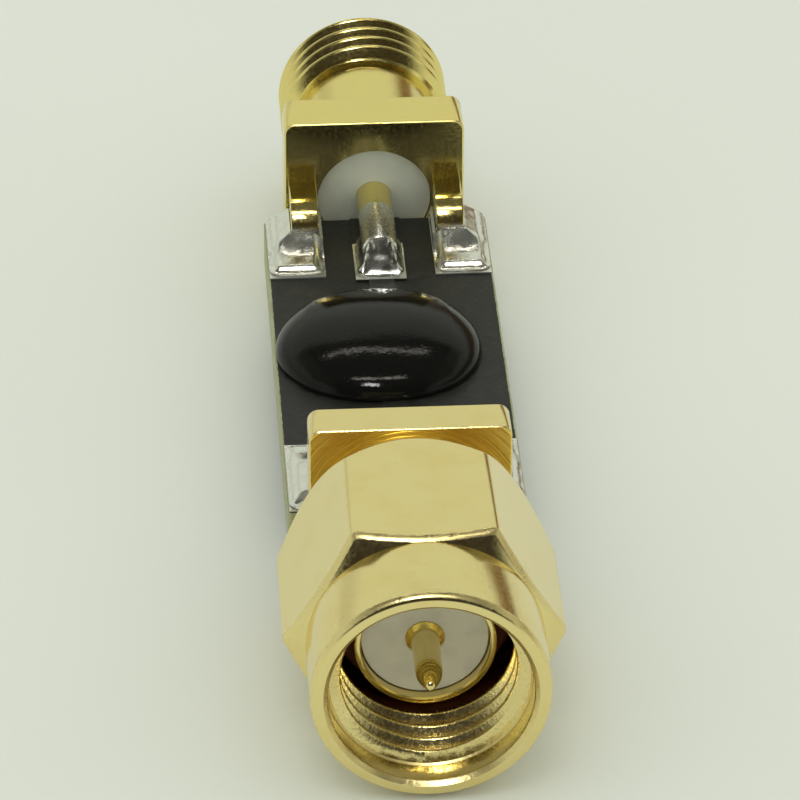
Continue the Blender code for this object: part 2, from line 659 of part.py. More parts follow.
def make_chip(name, datum, frame, finish):
    """A chip part lying along Y: a ceramic body between two slightly thicker end caps."""
    half, side, proud = CHIP_LENGTH / 2, CHIP_WIDTH / 2, CHIP_CAP_PROUD
    body_end = half - CHIP_CAP_LENGTH / 2
    body = blocks(((-side + proud, -body_end, proud), (side - proud, body_end, CHIP_HEIGHT - proud)))
    caps = blocks(*(((-side, start, 0.0), (side, start + CHIP_CAP_LENGTH, CHIP_HEIGHT))
                    for start in (-half, half - CHIP_CAP_LENGTH)))
    piece = add_piece(name, moved(body, frame), datum, finish)
    combine(piece, "UNION", f"{name}_caps_tool", moved(caps, frame))


def make_diode(name, datum, frame):
    """A small moulded diode lying along Y, with a flat lead at each end."""
    half_body, side, half_lead = DIODE_BODY_LENGTH / 2, DIODE_BODY_WIDTH / 2, DIODE_LEAD_WIDTH / 2
    root = half_body - DIODE_LEAD_ROOT
    tip = DIODE_LENGTH / 2
    body = blocks(((-side, -half_body, 0.0), (side, half_body, DIODE_BODY_HEIGHT)))
    leads = blocks(((-half_lead, root, 0.0), (half_lead, tip, DIODE_LEAD_THICKNESS)),
                   ((-half_lead, -tip, 0.0), (half_lead, -root, DIODE_LEAD_THICKNESS)))
    piece = add_piece(name, moved(body, frame), datum, "moulded_black")
    combine(piece, "UNION", f"{name}_leads_tool", moved(leads, frame))


def hidden_parts():
    """Name, kind and frame of each part under the epoxy. A shunt part lies across the board."""
    for name, towards in (("capacitor_in", PLUG_END), ("capacitor_out", JACK_END)):
        station = EPOXY_STATION + towards * CHIP_SPACING / 2
        yield name, "capacitor", Matrix.Translation((0.0, station, COPPER_SEAT))
    across = Matrix.Rotation(math.pi / 2, 4, "Z")
    diode_middle = SHUNT_INSIDE + DIODE_LENGTH / 2
    for side, name in ((LEFT, "diode_left"), (RIGHT, "diode_right")):
        place = Matrix.Translation((side * diode_middle, EPOXY_STATION + DIODE_STATION, COPPER_SEAT))
        yield name, "diode", place @ across
    choke_middle = LEFT * (SHUNT_INSIDE + CHIP_LENGTH / 2)
    place = Matrix.Translation((choke_middle, EPOXY_STATION + CHOKE_STATION, COPPER_SEAT))
    yield "choke", "choke", place @ across


def make_hidden_parts(datum):
    for name, kind, frame in hidden_parts():
        if kind == "diode":
            make_diode(name, datum, frame)
        else:
            make_chip(name, datum, frame, "tan_ceramic" if kind == "capacitor" else "grey_ferrite")


def shunt_pads():
    """Ground pads under the outer ends of the diodes and the choke, as (name, low corner, high corner)."""
    front = EPOXY_STATION + DIODE_STATION - DIODE_BODY_WIDTH / 2
    back = EPOXY_STATION + CHOKE_STATION + CHIP_WIDTH / 2
    inner = SHUNT_INSIDE + min(CHIP_LENGTH - CHIP_CAP_LENGTH, DIODE_BODY_LENGTH)
    outer = SHUNT_INSIDE + max(CHIP_LENGTH, DIODE_LENGTH) + SHUNT_PAD_MARGIN
    low, high = SEAT_GAP, SEAT_GAP + COPPER
    yield "shunt_pad_left", (-outer, front, low), (-inner, back, high)
    yield "shunt_pad_right", (inner, front, low), (outer, back, high)


def make_shunt_pads(datum):
    for name, low, high in shunt_pads():
        add_piece(name, blocks((low, high)), datum, "tinned_copper")


def oval(size, height):
    """Points round the drop's outline, drawn in to a share of its full size."""
    points = []
    for index in range(OVAL_STEPS):
        turn = index / OVAL_STEPS * math.tau
        x, y = (math.copysign(abs(part) ** (2 / EPOXY_SQUARENESS), part)
                for part in (math.cos(turn), math.sin(turn)))
        points.append((EPOXY_OFFSET + x * size * EPOXY_WIDTH / 2,
                       EPOXY_STATION + y * size * EPOXY_LENGTH / 2, height))
    return points


def make_epoxy(datum):
    """A rounded oval drop with a pocket for each part and copper strip that it covers."""
    rings = []
    for step in range(EPOXY_RINGS):
        turn = step / EPOXY_RINGS * math.pi / 2
        rings.append(oval(math.cos(turn) ** EPOXY_FULLNESS, SEAT_GAP + EPOXY_HEIGHT * math.sin(turn)))
    rings.append(oval(EPOXY_CROWN, SEAT_GAP + EPOXY_HEIGHT))
    drop = add_piece("epoxy_drop", loft(rings), datum, "glossy_epoxy")

    below = -CUT_MARGIN
    for name, kind, frame in hidden_parts():
        length, width, height = CHIP_LENGTH, CHIP_WIDTH, CHIP_HEIGHT
        if kind == "diode":
            length, width, height = DIODE_LENGTH, DIODE_BODY_WIDTH, DIODE_BODY_HEIGHT
        half, side = length / 2 + SEAT_GAP, width / 2 + SEAT_GAP
        pocket = blocks(((-side, -half, below), (side, half, height + SEAT_GAP)))
        combine(drop, "DIFFERENCE", f"{name}_pocket_tool", moved(pocket, frame))
    line = SIGNAL_LINE_WIDTH / 2 + SEAT_GAP
    combine(drop, "DIFFERENCE", "signal_line_pocket_tool",
            blocks(((-line, -BOARD_LENGTH / 2, below), (line, BOARD_LENGTH / 2, COPPER_SEAT))))
    for name, low, high in shunt_pads():
        pocket = blocks(((low[0] - SEAT_GAP, low[1] - SEAT_GAP, below),
                         (high[0] + SEAT_GAP, high[1] + SEAT_GAP, COPPER_SEAT)))
        combine(drop, "DIFFERENCE", f"{name}_pocket_tool", pocket)


def main():
    clear_scene()
    plug = add_datum("plug_datum", SLEEVE_FRONT)
    make_plug(plug)
    make_coupling_nut(add_datum("nut_axis", NUT_MOUTH))
    make_jack(add_datum("jack_datum", JACK_FACE))
    board = add_datum("board_datum", BOARD_MIDDLE, BOARD_TOP)
    make_board(board)
    make_ground_pads(board)
    make_prong_solder(board)
    make_signal_lines(board)
    make_pin_solder(board)
    make_hidden_parts(board)
    make_shunt_pads(board)
    make_epoxy(board)


main()
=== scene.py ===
"""Looks of an inline coaxial module: a gold-plated plug and jack on the ends of a small black circuit board.

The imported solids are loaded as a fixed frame, and each operator models one piece, or a group of like pieces,
over them. Units are metres. +Z is up, and +Y runs along the connector axis from the plug to the jack.
"""

import math

import bmesh
import bpy
from bpy.props import FloatProperty, FloatVectorProperty, IntProperty, PointerProperty
from bpy.types import Operator, Panel, PropertyGroup
from mathutils import Matrix, Vector


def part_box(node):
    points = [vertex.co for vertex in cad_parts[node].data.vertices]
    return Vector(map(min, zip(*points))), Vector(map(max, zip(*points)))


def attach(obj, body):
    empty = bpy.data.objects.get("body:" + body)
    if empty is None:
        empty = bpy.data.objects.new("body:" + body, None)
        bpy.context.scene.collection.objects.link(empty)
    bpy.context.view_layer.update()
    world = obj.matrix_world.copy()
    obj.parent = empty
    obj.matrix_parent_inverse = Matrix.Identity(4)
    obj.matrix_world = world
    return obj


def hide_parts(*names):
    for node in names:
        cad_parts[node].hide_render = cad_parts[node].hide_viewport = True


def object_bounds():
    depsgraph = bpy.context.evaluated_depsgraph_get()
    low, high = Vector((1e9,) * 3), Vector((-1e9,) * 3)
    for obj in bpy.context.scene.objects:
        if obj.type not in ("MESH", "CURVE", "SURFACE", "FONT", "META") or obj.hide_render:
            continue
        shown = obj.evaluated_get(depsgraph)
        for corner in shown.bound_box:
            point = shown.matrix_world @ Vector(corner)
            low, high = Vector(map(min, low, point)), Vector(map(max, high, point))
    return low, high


bl_info = {
    "name": "Inline coaxial module",
    "version": (1, 0, 0),
    "blender": (4, 5, 0),
    "location": "3D View > Sidebar > Coaxial",
    "description": "Models the visible pieces of an inline coaxial module over its packed solids",
    "category": "Object",
}

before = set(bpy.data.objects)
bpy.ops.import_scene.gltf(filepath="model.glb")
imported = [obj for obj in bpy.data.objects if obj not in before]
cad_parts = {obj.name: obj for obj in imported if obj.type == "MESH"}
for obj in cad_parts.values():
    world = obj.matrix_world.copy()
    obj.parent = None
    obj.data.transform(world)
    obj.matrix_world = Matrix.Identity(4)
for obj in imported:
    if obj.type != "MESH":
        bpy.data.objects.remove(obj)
CAD_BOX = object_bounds()

MM = 0.001
MICRON = 0.001 * MM
WELD = MICRON  # points closer than this are one
SPARE = 0.5 * MM  # how far a cutter runs past what it cuts
GAP = 0.02 * MM  # between two pieces that touch
ROOTING = 0.15 * MM  # how deep a thread is rooted in its wall
RUN_IN = 0.25  # slope at which the nut's thread starts
BOARD_CORNER, BOARD_EDGE = 0.15 * MM, 0.025 * MM  # roundings of the board
SOLDER_CELL = 0.06 * MM  # mesh of a sheet of solder
RIDGE_RUNS = (0.2, 0.4, 0.6, 0.8)  # places along the ridges in front of a conductor
CHIP_HALF, DIODE_HALF = 0.45 * MM, 0.6 * MM  # half the body between two tinned ends

FINE_EDGE, SMALL_EDGE, SOFT_EDGE = 0.03 * MM, 0.05 * MM, 0.1 * MM  # roundings of turned edges
TURN_STEPS = 144  # facets round a turned piece
CONE_STEPS = 108
CHAMFER_STEPS = FINE_STEPS = THREAD_STEPS = 72
NOSE_STEPS, CORNER_STEPS, POOL_STEPS, ARC_STEPS, EDGE_STEPS, BREAK_STEPS = 10, 8, 6, 4, 3, 2  # of a rounding
DROP_CUTS = 31  # cuts along each side of the block that becomes the drop
SMOOTH_ANGLE = math.radians(26.0)
FLAT_ANGLE = math.radians(0.05)
LEAN_ERROR = 0.05  # in the test of a face's slope
STRIPS = ((0.6, 0.02), (-0.32, 0.045))  # slope and half width of the strips overhead
LAMP_DISTANCE = 0.6

NUT_LOW, NUT_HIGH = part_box("coupling_nut")
PLUG_LOW, PLUG_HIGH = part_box("plug_body")
JACK_LOW, JACK_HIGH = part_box("jack_body")
BOARD_LOW, BOARD_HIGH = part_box("circuit_board")
BOARD_CENTRE = Vector((0.0, (BOARD_LOW.y + BOARD_HIGH.y) / 2, (BOARD_LOW.z + BOARD_HIGH.z) / 2))
TOP_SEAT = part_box("solder_jack_top_left")[0].z
UNDER_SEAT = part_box("solder_jack_bottom_left")[1].z
WET_REACH = JACK_LOW.y - BOARD_CENTRE.y + 0.1 * MM  # from the board's middle to where solder ends on a prong

INNER_NODES = ("capacitor_in", "capacitor_out", "diode_left", "diode_right", "choke",
               "shunt_pad_left", "shunt_pad_right", "signal_line_middle")


def length(name, description, default):
    return FloatProperty(name=name, description=description, default=default, min=0.0, unit="LENGTH",
                         precision=5)


def angle(name, description, degrees):
    return FloatProperty(name=name, description=description, default=math.radians(degrees), subtype="ANGLE")


def level(name, description, default, top=1.0):
    return FloatProperty(name=name, description=description, default=default, min=0.0, max=top,
                         subtype="FACTOR" if top == 1.0 else "NONE")


def power(name, description, default):
    return FloatProperty(name=name, description=description, default=default, min=0.0, unit="POWER")


def colour(name, description, default):
    return FloatVectorProperty(name=name, description=description, default=default, min=0.0, max=1.0,
                               subtype="COLOR")


class CoaxNut(PropertyGroup):
    collar: length("Collar diameter", "Round front of the nut", 7.7 * MM)
    collar_length: length("Collar length", "From the mouth to the hexagon", 3.0 * MM)
    collar_edge: length("Collar edge", "Rounding of the collar's front edge", 0.27 * MM)
    flat_edge: length("Flat edge", "Rounding of the flats at the corners and the front chamfer", 0.2 * MM)
    front_face: length("Front face diameter", "Where the front chamfer starts", 7.4 * MM)
    chamfer: angle("Front chamfer", "Slope of the front chamfer against the front face", 30.0)
    cone_edge: length("Cone edge", "Rounding where the back cone cuts the flats", 0.03 * MM)
    back_face: length("Back face diameter", "Flat ring behind the cone", 7.8 * MM)
    cone: angle("Cone angle", "Slope of the back cone against the axis", 30.0)
    lead_in: length("Lead-in diameter", "Smooth bore before the thread", 6.56 * MM)
    lead_in_length: length("Lead-in length", "From the mouth to the thread", 1.0 * MM)
    mouth_edge: length("Mouth edge", "Chamfer inside the mouth", 0.15 * MM)
    root: length("Thread root diameter", "Bottom of the inside thread", 6.4 * MM)
    crest: length("Thread crest diameter", "Top of the inside thread", 5.66 * MM)
    pitch: length("Thread pitch", "Advance of one turn", 0.7056 * MM)
    thread_step: length("Thread step", "Half the step from the lead-in to the thread", 0.04 * MM)
    thread_length: length("Thread length", "From the lead-in to the relief", 2.7 * MM)
    relief: length("Relief diameter", "Groove behind the thread", 6.6 * MM)
    web: length("Web place", "From the mouth to the inner web", 6.1 * MM)
    bore: length("Bore diameter", "Hole that turns on the plug", 5.62 * MM)
    groove: length("Groove diameter", "Floor of the retaining ring's groove", 6.02 * MM)
    groove_place: length("Groove place", "From the mouth to the middle of the groove", 7.9 * MM)
    groove_width: length("Groove width", "Along the axis", 0.62 * MM)


class CoaxPlug(PropertyGroup):
    sleeve: length("Sleeve diameter", "Front tube of the plug", 4.58 * MM)
    sleeve_length: length("Sleeve length", "From its front to the gasket's shoulder", 2.85 * MM)
    sleeve_edge: length("Sleeve edge", "Rounding of the sleeve's front", 0.07 * MM)
    gasket_crown: length("Gasket crown", "Rounding of the gasket's outer front edge", 0.22 * MM)
    gasket_edge: length("Gasket edge", "Rounding of the gasket's inner front edge", 0.15 * MM)
    journal: length("Journal diameter", "Shaft that the nut turns on", 5.5 * MM)
    groove: length("Groove diameter", "Floor of the retaining ring's groove", 4.78 * MM)
    groove_place: length("Groove place", "From the sleeve's front to the middle of the groove", 4.9 * MM)
    groove_width: length("Groove width", "Along the axis", 0.92 * MM)
    flange_place: length("Flange place", "From the sleeve's front to the flange", 7.73 * MM)
    flange: length("Flange thickness", "Along the axis", 1.43 * MM)
    bore: length("Bore diameter", "Hole for the insulator", 4.14 * MM)
    pin: length("Pin diameter", "Contact pin", 0.9 * MM)
    pin_point: length("Pin point", "Length of the pin's rounded point", 0.7 * MM)
    pin_tip: level("Pin tip", "Width of the point's blunt end as a share of the pin", 0.28)
    pin_round: length("Pin rounding", "Rounding behind the point", 0.3 * MM)
    shoulder: length("Pin shoulder", "How far the shoulder stands out of the insulator", 0.15 * MM)
    shoulder_slope: level("Shoulder slope", "Share of the shoulder that is conical", 0.8)
    shoulder_edge: length("Shoulder edge", "Rounding of the shoulder", 0.02 * MM)


class CoaxJack(PropertyGroup):
    flange: length("Flange thickness", "Along the axis", 1.9 * MM)
    neck: length("Neck diameter", "Between the flange and the thread", 5.2 * MM)
    neck_end: length("Neck end", "From the flange's board side to the thread", 5.6 * MM)
    barrel: length("Barrel diameter", "Crests of the outside thread", 6.2 * MM)
    core: length("Core diameter", "Roots of the outside thread", 5.44 * MM)
    pitch: length("Thread pitch", "Advance of one turn", 0.7056 * MM)
    barrel_edge: length("Barrel edge", "Chamfer at both ends of the thread", 0.35 * MM)
    mouth: length("Mouth diameter", "Recess that takes the plug's sleeve", 4.6 * MM)
    mouth_edge: length("Mouth edge", "Chamfer inside the mouth", 0.15 * MM)
    mouth_round: length("Mouth rounding", "Small roundings in the mouth and at the contact", 0.04 * MM)
    bore: length("Bore diameter", "Hole for the insulator", 4.14 * MM)
    contact_bore: length("Contact bore", "Hole for the mating pin", 0.93 * MM)
    contact_depth: length("Contact depth", "Depth of that hole", 2.9 * MM)
    contact_lip: length("Contact lip", "How much wider that hole is at its mouth, in radius", 0.08 * MM)
    slot: length("Slot width", "Slots between the contact's spring fingers", 0.16 * MM)
    slot_depth: length("Slot depth", "Length of the slots", 2.3 * MM)


class CoaxFlange(PropertyGroup):
    corner: length("Corner radius", "Rounded corners of both flanges", 0.4 * MM)
    edge: length("Edge rounding", "Rounded edges of flanges and prongs", 0.07 * MM)
    prong_inside: length("Prong place", "From the axis to a prong's inner side", 2.1 * MM)
    prong_width: length("Prong width", "Across the board", 1.0 * MM)
    prong_rise: length("Upper prong height", "Above the board", 1.5 * MM)
    prong_foot: length("Lower prong height", "Below the board", 0.8 * MM)
    prong_nose: length("Prong nose", "Rounding of a prong's free end", 1.1 * MM)
    prong_blunt: level("Prong bluntness", "Largest share of a prong's height in that rounding", 0.8)
    prong_root: length("Prong root", "How deep a prong is rooted in its flange", 0.6 * MM)


class CoaxSolder(PropertyGroup):
    layer: length("Layer", "Thickness over an open pad", 0.24 * MM)
    rim: length("Rim", "Width of the rounded rim", 0.3 * MM)
    rim_layer: length("Rim layer", "Thickness at the end of the rim", 0.04 * MM)
    climb: length("Climb", "How far solder climbs a prong above that layer", 0.46 * MM)
    slope: length("Slope", "Reach of the hollow slope round a prong", 1.4 * MM)
    skin: length("Skin", "Thickness at the top of the slope", 0.07 * MM)
    corner: length("Corner", "Rounded corners of a joint's outline", 0.45 * MM)
    flow: IntProperty(name="Flow", description="How often a joint's slopes are smoothed", default=3, min=0)
    lump: length("Lump size", "Size of the frozen lumps", 0.55 * MM)
    lump_height: length("Lump height", "Height of the frozen lumps", 0.03 * MM)
    pin_climb: length("Pin climb", "How far solder climbs a conductor above its pad", 1.2 * MM)
    pin_slope: length("Pin slope", "Reach of the hollow slope round a conductor", 0.85 * MM)
    pin_ridge: length("Pin ridge", "Height of the two ridges in front of a conductor", 0.3 * MM)
    pin_ridge_reach: length("Pin ridge reach", "Reach of the slope beside those ridges", 0.28 * MM)
    pin_crest: length("Pin crest", "Half width of the crest over a conductor", 0.3 * MM)
    tail: length("Tail diameter", "Conductor inside the joint", 1.27 * MM)
    tail_edge: length("Tail edge", "Chamfer of the conductor's end", 0.12 * MM)


class CoaxEpoxy(PropertyGroup):
    fullness: level("Fullness", "1 is a half sphere before it is stretched, less is fuller", 0.94)
    wave: length("Wave size", "Size of the frozen waves", 2.6 * MM)
    wave_height: length("Wave height", "Height of the frozen waves", 0.05 * MM)


class CoaxLook(PropertyGroup):
    gold: colour("Gold", "Bright gold plate", (0.85, 0.72, 0.33))
    deep_gold: colour("Deep gold", "Thinner places in the gold plate", (0.82, 0.66, 0.27))
    jack_gold: colour("Jack gold", "Yellower gold plate at the jack", (0.84, 0.71, 0.24))
    # Painted reflection: a warmer gold on the flange face stands in for light reflected from the nut's gold
    painted_reflection_gold: colour("Warm gold", "Face of the plug's flange, towards the nut", (0.97, 0.71, 0.18))
    gold_roughness: level("Gold roughness", "Gloss of the gold plate", 0.15)
    tool_mark: length("Tool marks", "Feed of the turning tool", 0.09 * MM)
    solder: colour("Solder", "Bright solder", (0.78, 0.79, 0.72))
    flux: colour("Flux", "Thin brown flux film on solder", (0.43, 0.38, 0.27))
    tin: colour("Tin", "Tinned copper", (0.80, 0.81, 0.74))
    mask: colour("Mask", "Matte black solder mask", (0.011, 0.012, 0.009))
    laminate: colour("Laminate", "Cut edge of the glass laminate", (0.38, 0.40, 0.22))
    resin: colour("Resin", "Darker resin between the glass layers", (0.29, 0.30, 0.14))
    cloth: length("Cloth", "Spacing of the threads in the glass cloth", 0.42 * MM)
    ply: length("Ply", "Thickness of one layer of glass cloth", 0.2 * MM)
    epoxy: colour("Epoxy", "Glossy black epoxy", (0.006, 0.006, 0.005))
    # The plug's white insulator is tinted grey and warm as a painted reflection of the gold round it; the
    # jack's copy is darker still as painted shade under its flange
    ptfe: colour("Fluoropolymer", "White insulator of the plug", (0.70, 0.68, 0.52))
    painted_shade_ptfe: colour("Jack fluoropolymer", "White insulator of the jack", (0.52, 0.55, 0.45))
    silicone: colour("Silicone", "Dark reddish gasket", (0.20, 0.045, 0.025))
    bronze: colour("Bronze", "Bare spring bronze", (0.46, 0.27, 0.11))
    ceramic: colour("Ceramic", "Tan capacitor body", (0.36, 0.23, 0.12))
    ferrite: colour("Ferrite", "Grey choke body", (0.06, 0.06, 0.065))
    moulding: colour("Moulding", "Black moulded diode body", (0.016, 0.016, 0.016))


class CoaxStage(PropertyGroup):
    floor: colour("Floor", "Plain pale floor", (0.76, 0.80, 0.69))
    floor_size: length("Floor size", "Side of the floor", 6.0)
    pale: colour("Pale background", "Low and behind the object", (0.72, 0.75, 0.65))
    ceiling: colour("Ceiling", "Straight overhead", (0.11, 0.11, 0.095))
    dusk: colour("Dark side", "On the camera's side", (0.032, 0.026, 0.021))
    wall: colour("Side walls", "High up on both sides", (0.24, 0.24, 0.20))
    horizon: colour("Horizon", "Darker band behind the floor", (0.20, 0.13, 0.06))
    soft_light: level("Soft light", "Light from all round on matte surfaces", 0.88, 4.0)
    lamp_power: power("Lamp power", "Soft lamp overhead", 0.3)
    glint_power: power("Glint power", "Compact lamp that only glossy surfaces show", 1.1)
    strip: colour("Strip colour", "The two strips overhead that glossy surfaces show", (1.0, 0.94, 0.82))
    strip_light: level("Strip light", "How bright those strips are", 12.0, 50.0)
    camera_place: FloatVectorProperty(
        name="Camera place", description="Where the camera stands", subtype="TRANSLATION", unit="LENGTH",
        precision=5, default=(-0.010636, -0.175167, 0.106417))
    yaw: angle("Camera yaw", "Turned to the right of the connector axis", 3.55)
    pitch: angle("Camera pitch", "Looking down from the horizon", 31.564)
    roll: angle("Camera roll", "Turned about its own axis", 0.098)
    lens: FloatProperty(
        name="Lens", description="Focal length in millimetres on a 36 mm sensor", default=268.15, min=1.0,
        subtype="DISTANCE_CAMERA")


def deselect():
    if bpy.context.mode != "OBJECT":
        bpy.ops.object.mode_set(mode="OBJECT")
    bpy.ops.object.select_all(action="DESELECT")


def work_on(piece):
    deselect()
    piece.select_set(True)
    bpy.context.view_layer.objects.active = piece


def open_piece(name):
    """Names the primitive that was just added, puts its place into its mesh and opens it for editing."""
    piece = bpy.context.active_object
    piece.name = piece.data.name = name
    bpy.ops.object.transform_apply(location=True, rotation=True, scale=True)
    bpy.ops.object.mode_set(mode="EDIT")
    return piece


def close_piece():
    """Merges doubles, turns all faces outwards and leaves edit mode."""
    bpy.ops.mesh.select_all(action="SELECT")
    bpy.ops.mesh.remove_doubles(threshold=WELD)
    bpy.ops.mesh.normals_make_consistent(inside=False)
    bpy.ops.object.mode_set(mode="OBJECT")


def pick(piece, kind, test):
    """Selects the vertices, edges or faces that pass a test, in edit mode."""
    bpy.ops.mesh.select_mode(type=kind)
    bpy.ops.mesh.select_all(action="DESELECT")
    mesh = bmesh.from_edit_mesh(piece.data)
    mesh.normal_update()
    for item in {"VERT": mesh.verts, "EDGE": mesh.edges, "FACE": mesh.faces}[kind]:
        if test(item):
            item.select_set(True)
    mesh.select_flush_mode()
    bmesh.update_edit_mesh(piece.data)


def apply(piece, kind, **settings):
    """Adds a modifier to a piece and applies it."""
    work_on(piece)
    bpy.ops.object.modifier_add(type=kind)
    step = piece.modifiers[-1]
    for name, value in settings.items():
        setattr(step, name, value)
    bpy.ops.object.modifier_apply(modifier=step.name)


def combine(piece, operation, tool):
    """Joins, cuts or trims a piece with a tool, which is used up."""
    apply(piece, "BOOLEAN", operation=operation, object=tool, solver="MANIFOLD")
    bpy.data.objects.remove(tool)


def draw(name, profile, closed):
    """Draws a profile as a chain of edges, left open for editing.

    Each point is (radius, along), with a rounding as a third number where its corner is rounded.
    """
    points = [point[:2] for point in profile]
    deselect()
    bpy.ops.mesh.primitive_plane_add(size=WELD)
    piece = open_piece(name)
    bpy.ops.mesh.select_mode(type="VERT")
    bpy.ops.mesh.merge(type="CENTER")
    bpy.ops.transform.translate(value=(*points[0], 0.0))
    for before, after in zip(points, points[1:]):
        step = (after[0] - before[0], after[1] - before[1], 0.0)
        bpy.ops.mesh.extrude_region_move(TRANSFORM_OT_translate={"value": step})
    if closed:
        pick(piece, "VERT", lambda vertex: stands_at(vertex, (points[0], points[-1])))
        bpy.ops.mesh.edge_face_add()
    for rounding in sorted({point[2] for point in profile if len(point) > 2}):
        corners = [point[:2] for point in profile if point[2:] == (rounding,)]
        pick(piece, "VERT", lambda vertex: stands_at(vertex, corners))
        bpy.ops.mesh.bevel(affect="VERTICES", offset=rounding, segments=ARC_STEPS, profile=0.5)
    return piece


def stands_at(vertex, points):
    return any((vertex.co - Vector((*point, 0.0))).length < WELD for point in points)


def turn(name, profile, steps=TURN_STEPS):
    """Turns a profile about the connector axis."""
    piece = draw(name, profile, closed=profile[0][0] > 0.0)
    bpy.ops.mesh.select_all(action="SELECT")
    bpy.ops.mesh.spin(steps=steps, angle=math.tau, center=(0, 0, 0), axis=(0, 1, 0), use_auto_merge=True)
    close_piece()
    return piece


def thread(name, root, crest, start, end, pitch):
    """Winds a pointed tooth into a right-hand ridge that runs past both ends of the thread."""
    base = root - math.copysign(ROOTING, crest - root)
    half_root, half_crest, rounding = 0.39 * pitch, 0.1 * pitch, 0.085 * pitch
    first = start - pitch
    piece = draw(name, [
        (base, first - half_root),
        (root, first - half_root),
        (crest, first - half_crest, rounding),
        (crest, first + half_crest, rounding),
        (root, first + half_root),
        (base, first + half_root),
    ], closed=True)
    bpy.ops.object.mode_set(mode="OBJECT")
    apply(piece, "SCREW", axis="Y", angle=math.tau, screw_offset=pitch,
          iterations=math.ceil((end - start) / pitch) + 2, steps=THREAD_STEPS, render_steps=THREAD_STEPS)
    bpy.ops.object.mode_set(mode="EDIT")
    pick(piece, "EDGE", lambda edge: edge.is_boundary)
    bpy.ops.mesh.fill_holes(sides=0)
    close_piece()
    return piece


def block(name, low, high):
    """A block between two corners, left open for editing."""
    low, high = Vector(low), Vector(high)
    deselect()
    bpy.ops.mesh.primitive_cube_add(size=1.0, location=(low + high) / 2, scale=high - low)
    return open_piece(name)


def round_edges(piece, width, test, steps=ARC_STEPS):
    pick(piece, "EDGE", test)
    bpy.ops.mesh.bevel(affect="EDGES", offset=width, segments=steps, profile=0.5, clamp_overlap=True)


def runs_along(axis):
    """Tests whether an edge lies along an axis."""
    def test(edge):
        step = edge.verts[1].co - edge.verts[0].co
        return abs(step[axis]) > 0.9 * step.length
    return test


def lies_in(axis, *places):
    """Tests whether an edge lies in a plane across an axis."""
    def test(edge):
        return any(all(abs(vertex.co[axis] - place) < WELD for vertex in edge.verts) for place in places)
    return test


def joins(*pairs):
    """Tests whether an edge lies between faces whose normals lean along the connector axis as a pair says."""
    def test(edge):
        leans = sorted(face.normal.y for face in edge.link_faces)
        return any(all(abs(lean - goal) < LEAN_ERROR for lean, goal in zip(leans, pair)) for pair in pairs)
    return test


def cut_block(piece, low, high):
    tool = block("cutter", low, high)
    close_piece()
    combine(piece, "DIFFERENCE", tool)


def smooth(piece):
    """Joins the flat faces that cutting has split, and shades the rounded ones smooth."""
    work_on(piece)
    bpy.ops.object.mode_set(mode="EDIT")
    bpy.ops.mesh.select_all(action="SELECT")
    bpy.ops.mesh.dissolve_limited(angle_limit=FLAT_ANGLE)
    bpy.ops.object.mode_set(mode="OBJECT")
    bpy.ops.object.shade_smooth_by_angle(angle=SMOOTH_ANGLE)
    apply(piece, "WEIGHTED_NORMAL", keep_sharp=True, weight=100)


def dress(piece, material, body, slot, *nodes):
    """Gives a finished piece its finish, its body and the solids that it stands for."""
    piece.data.materials.clear()
    piece.data.materials.append(finished(material))
    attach(piece, body)
    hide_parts(*nodes)


def scaled(tint, share):
    return [share * part for part in tint]


class Nodes:
    """Short ways to add and link the nodes of one tree."""

    def __init__(self, tree):
        self.tree = tree

    def feed(self, socket, value):
        if isinstance(value, bpy.types.NodeSocket):
            self.tree.links.new(value, socket)
        else:
            socket.default_value = value

    def add(self, kind, inputs=None, **settings):
        node = self.tree.nodes.new("ShaderNode" + kind)
        for name, value in settings.items():
            setattr(node, name, value)
        for name, value in (inputs or {}).items():
            self.feed(node.inputs[name], value)
        return node

    def calc(self, operation, first, second=0.0):
        return self.add("Math", {0: first, 1: second}, operation=operation).outputs[0]

    def total(self, first, *others):
        for other in others:
            first = self.calc("ADD", first, other)
        return first

    def times(self, first, *others):
        for other in others:
            first = self.calc("MULTIPLY", first, other)
        return first

    def away(self, value, place=0.0):
        """How far a value is from a place."""
        return self.calc("ABSOLUTE", self.calc("SUBTRACT", value, place))

    def ramp(self, value, low, high, start=0.0, end=1.0):
        """Leads smoothly from start to end while the value goes from low to high."""
        inputs = {"Value": value, "From Min": low, "From Max": high, "To Min": start, "To Max": end}
        return self.add("MapRange", inputs, interpolation_type="SMOOTHSTEP").outputs["Result"]

    def fade(self, value, low, high):
        """Leads smoothly from 1 to 0."""
        return self.ramp(value, low, high, 1.0, 0.0)

    def mix(self, share, first, second):
        inputs = {0: share}
        for socket, value in ((6, first), (7, second)):
            inputs[socket] = value if isinstance(value, bpy.types.NodeSocket) else (*value, 1.0)
        return self.add("Mix", inputs, data_type="RGBA").outputs[2]

    def axes(self, vector):
        return self.add("SeparateXYZ", {"Vector": vector}).outputs


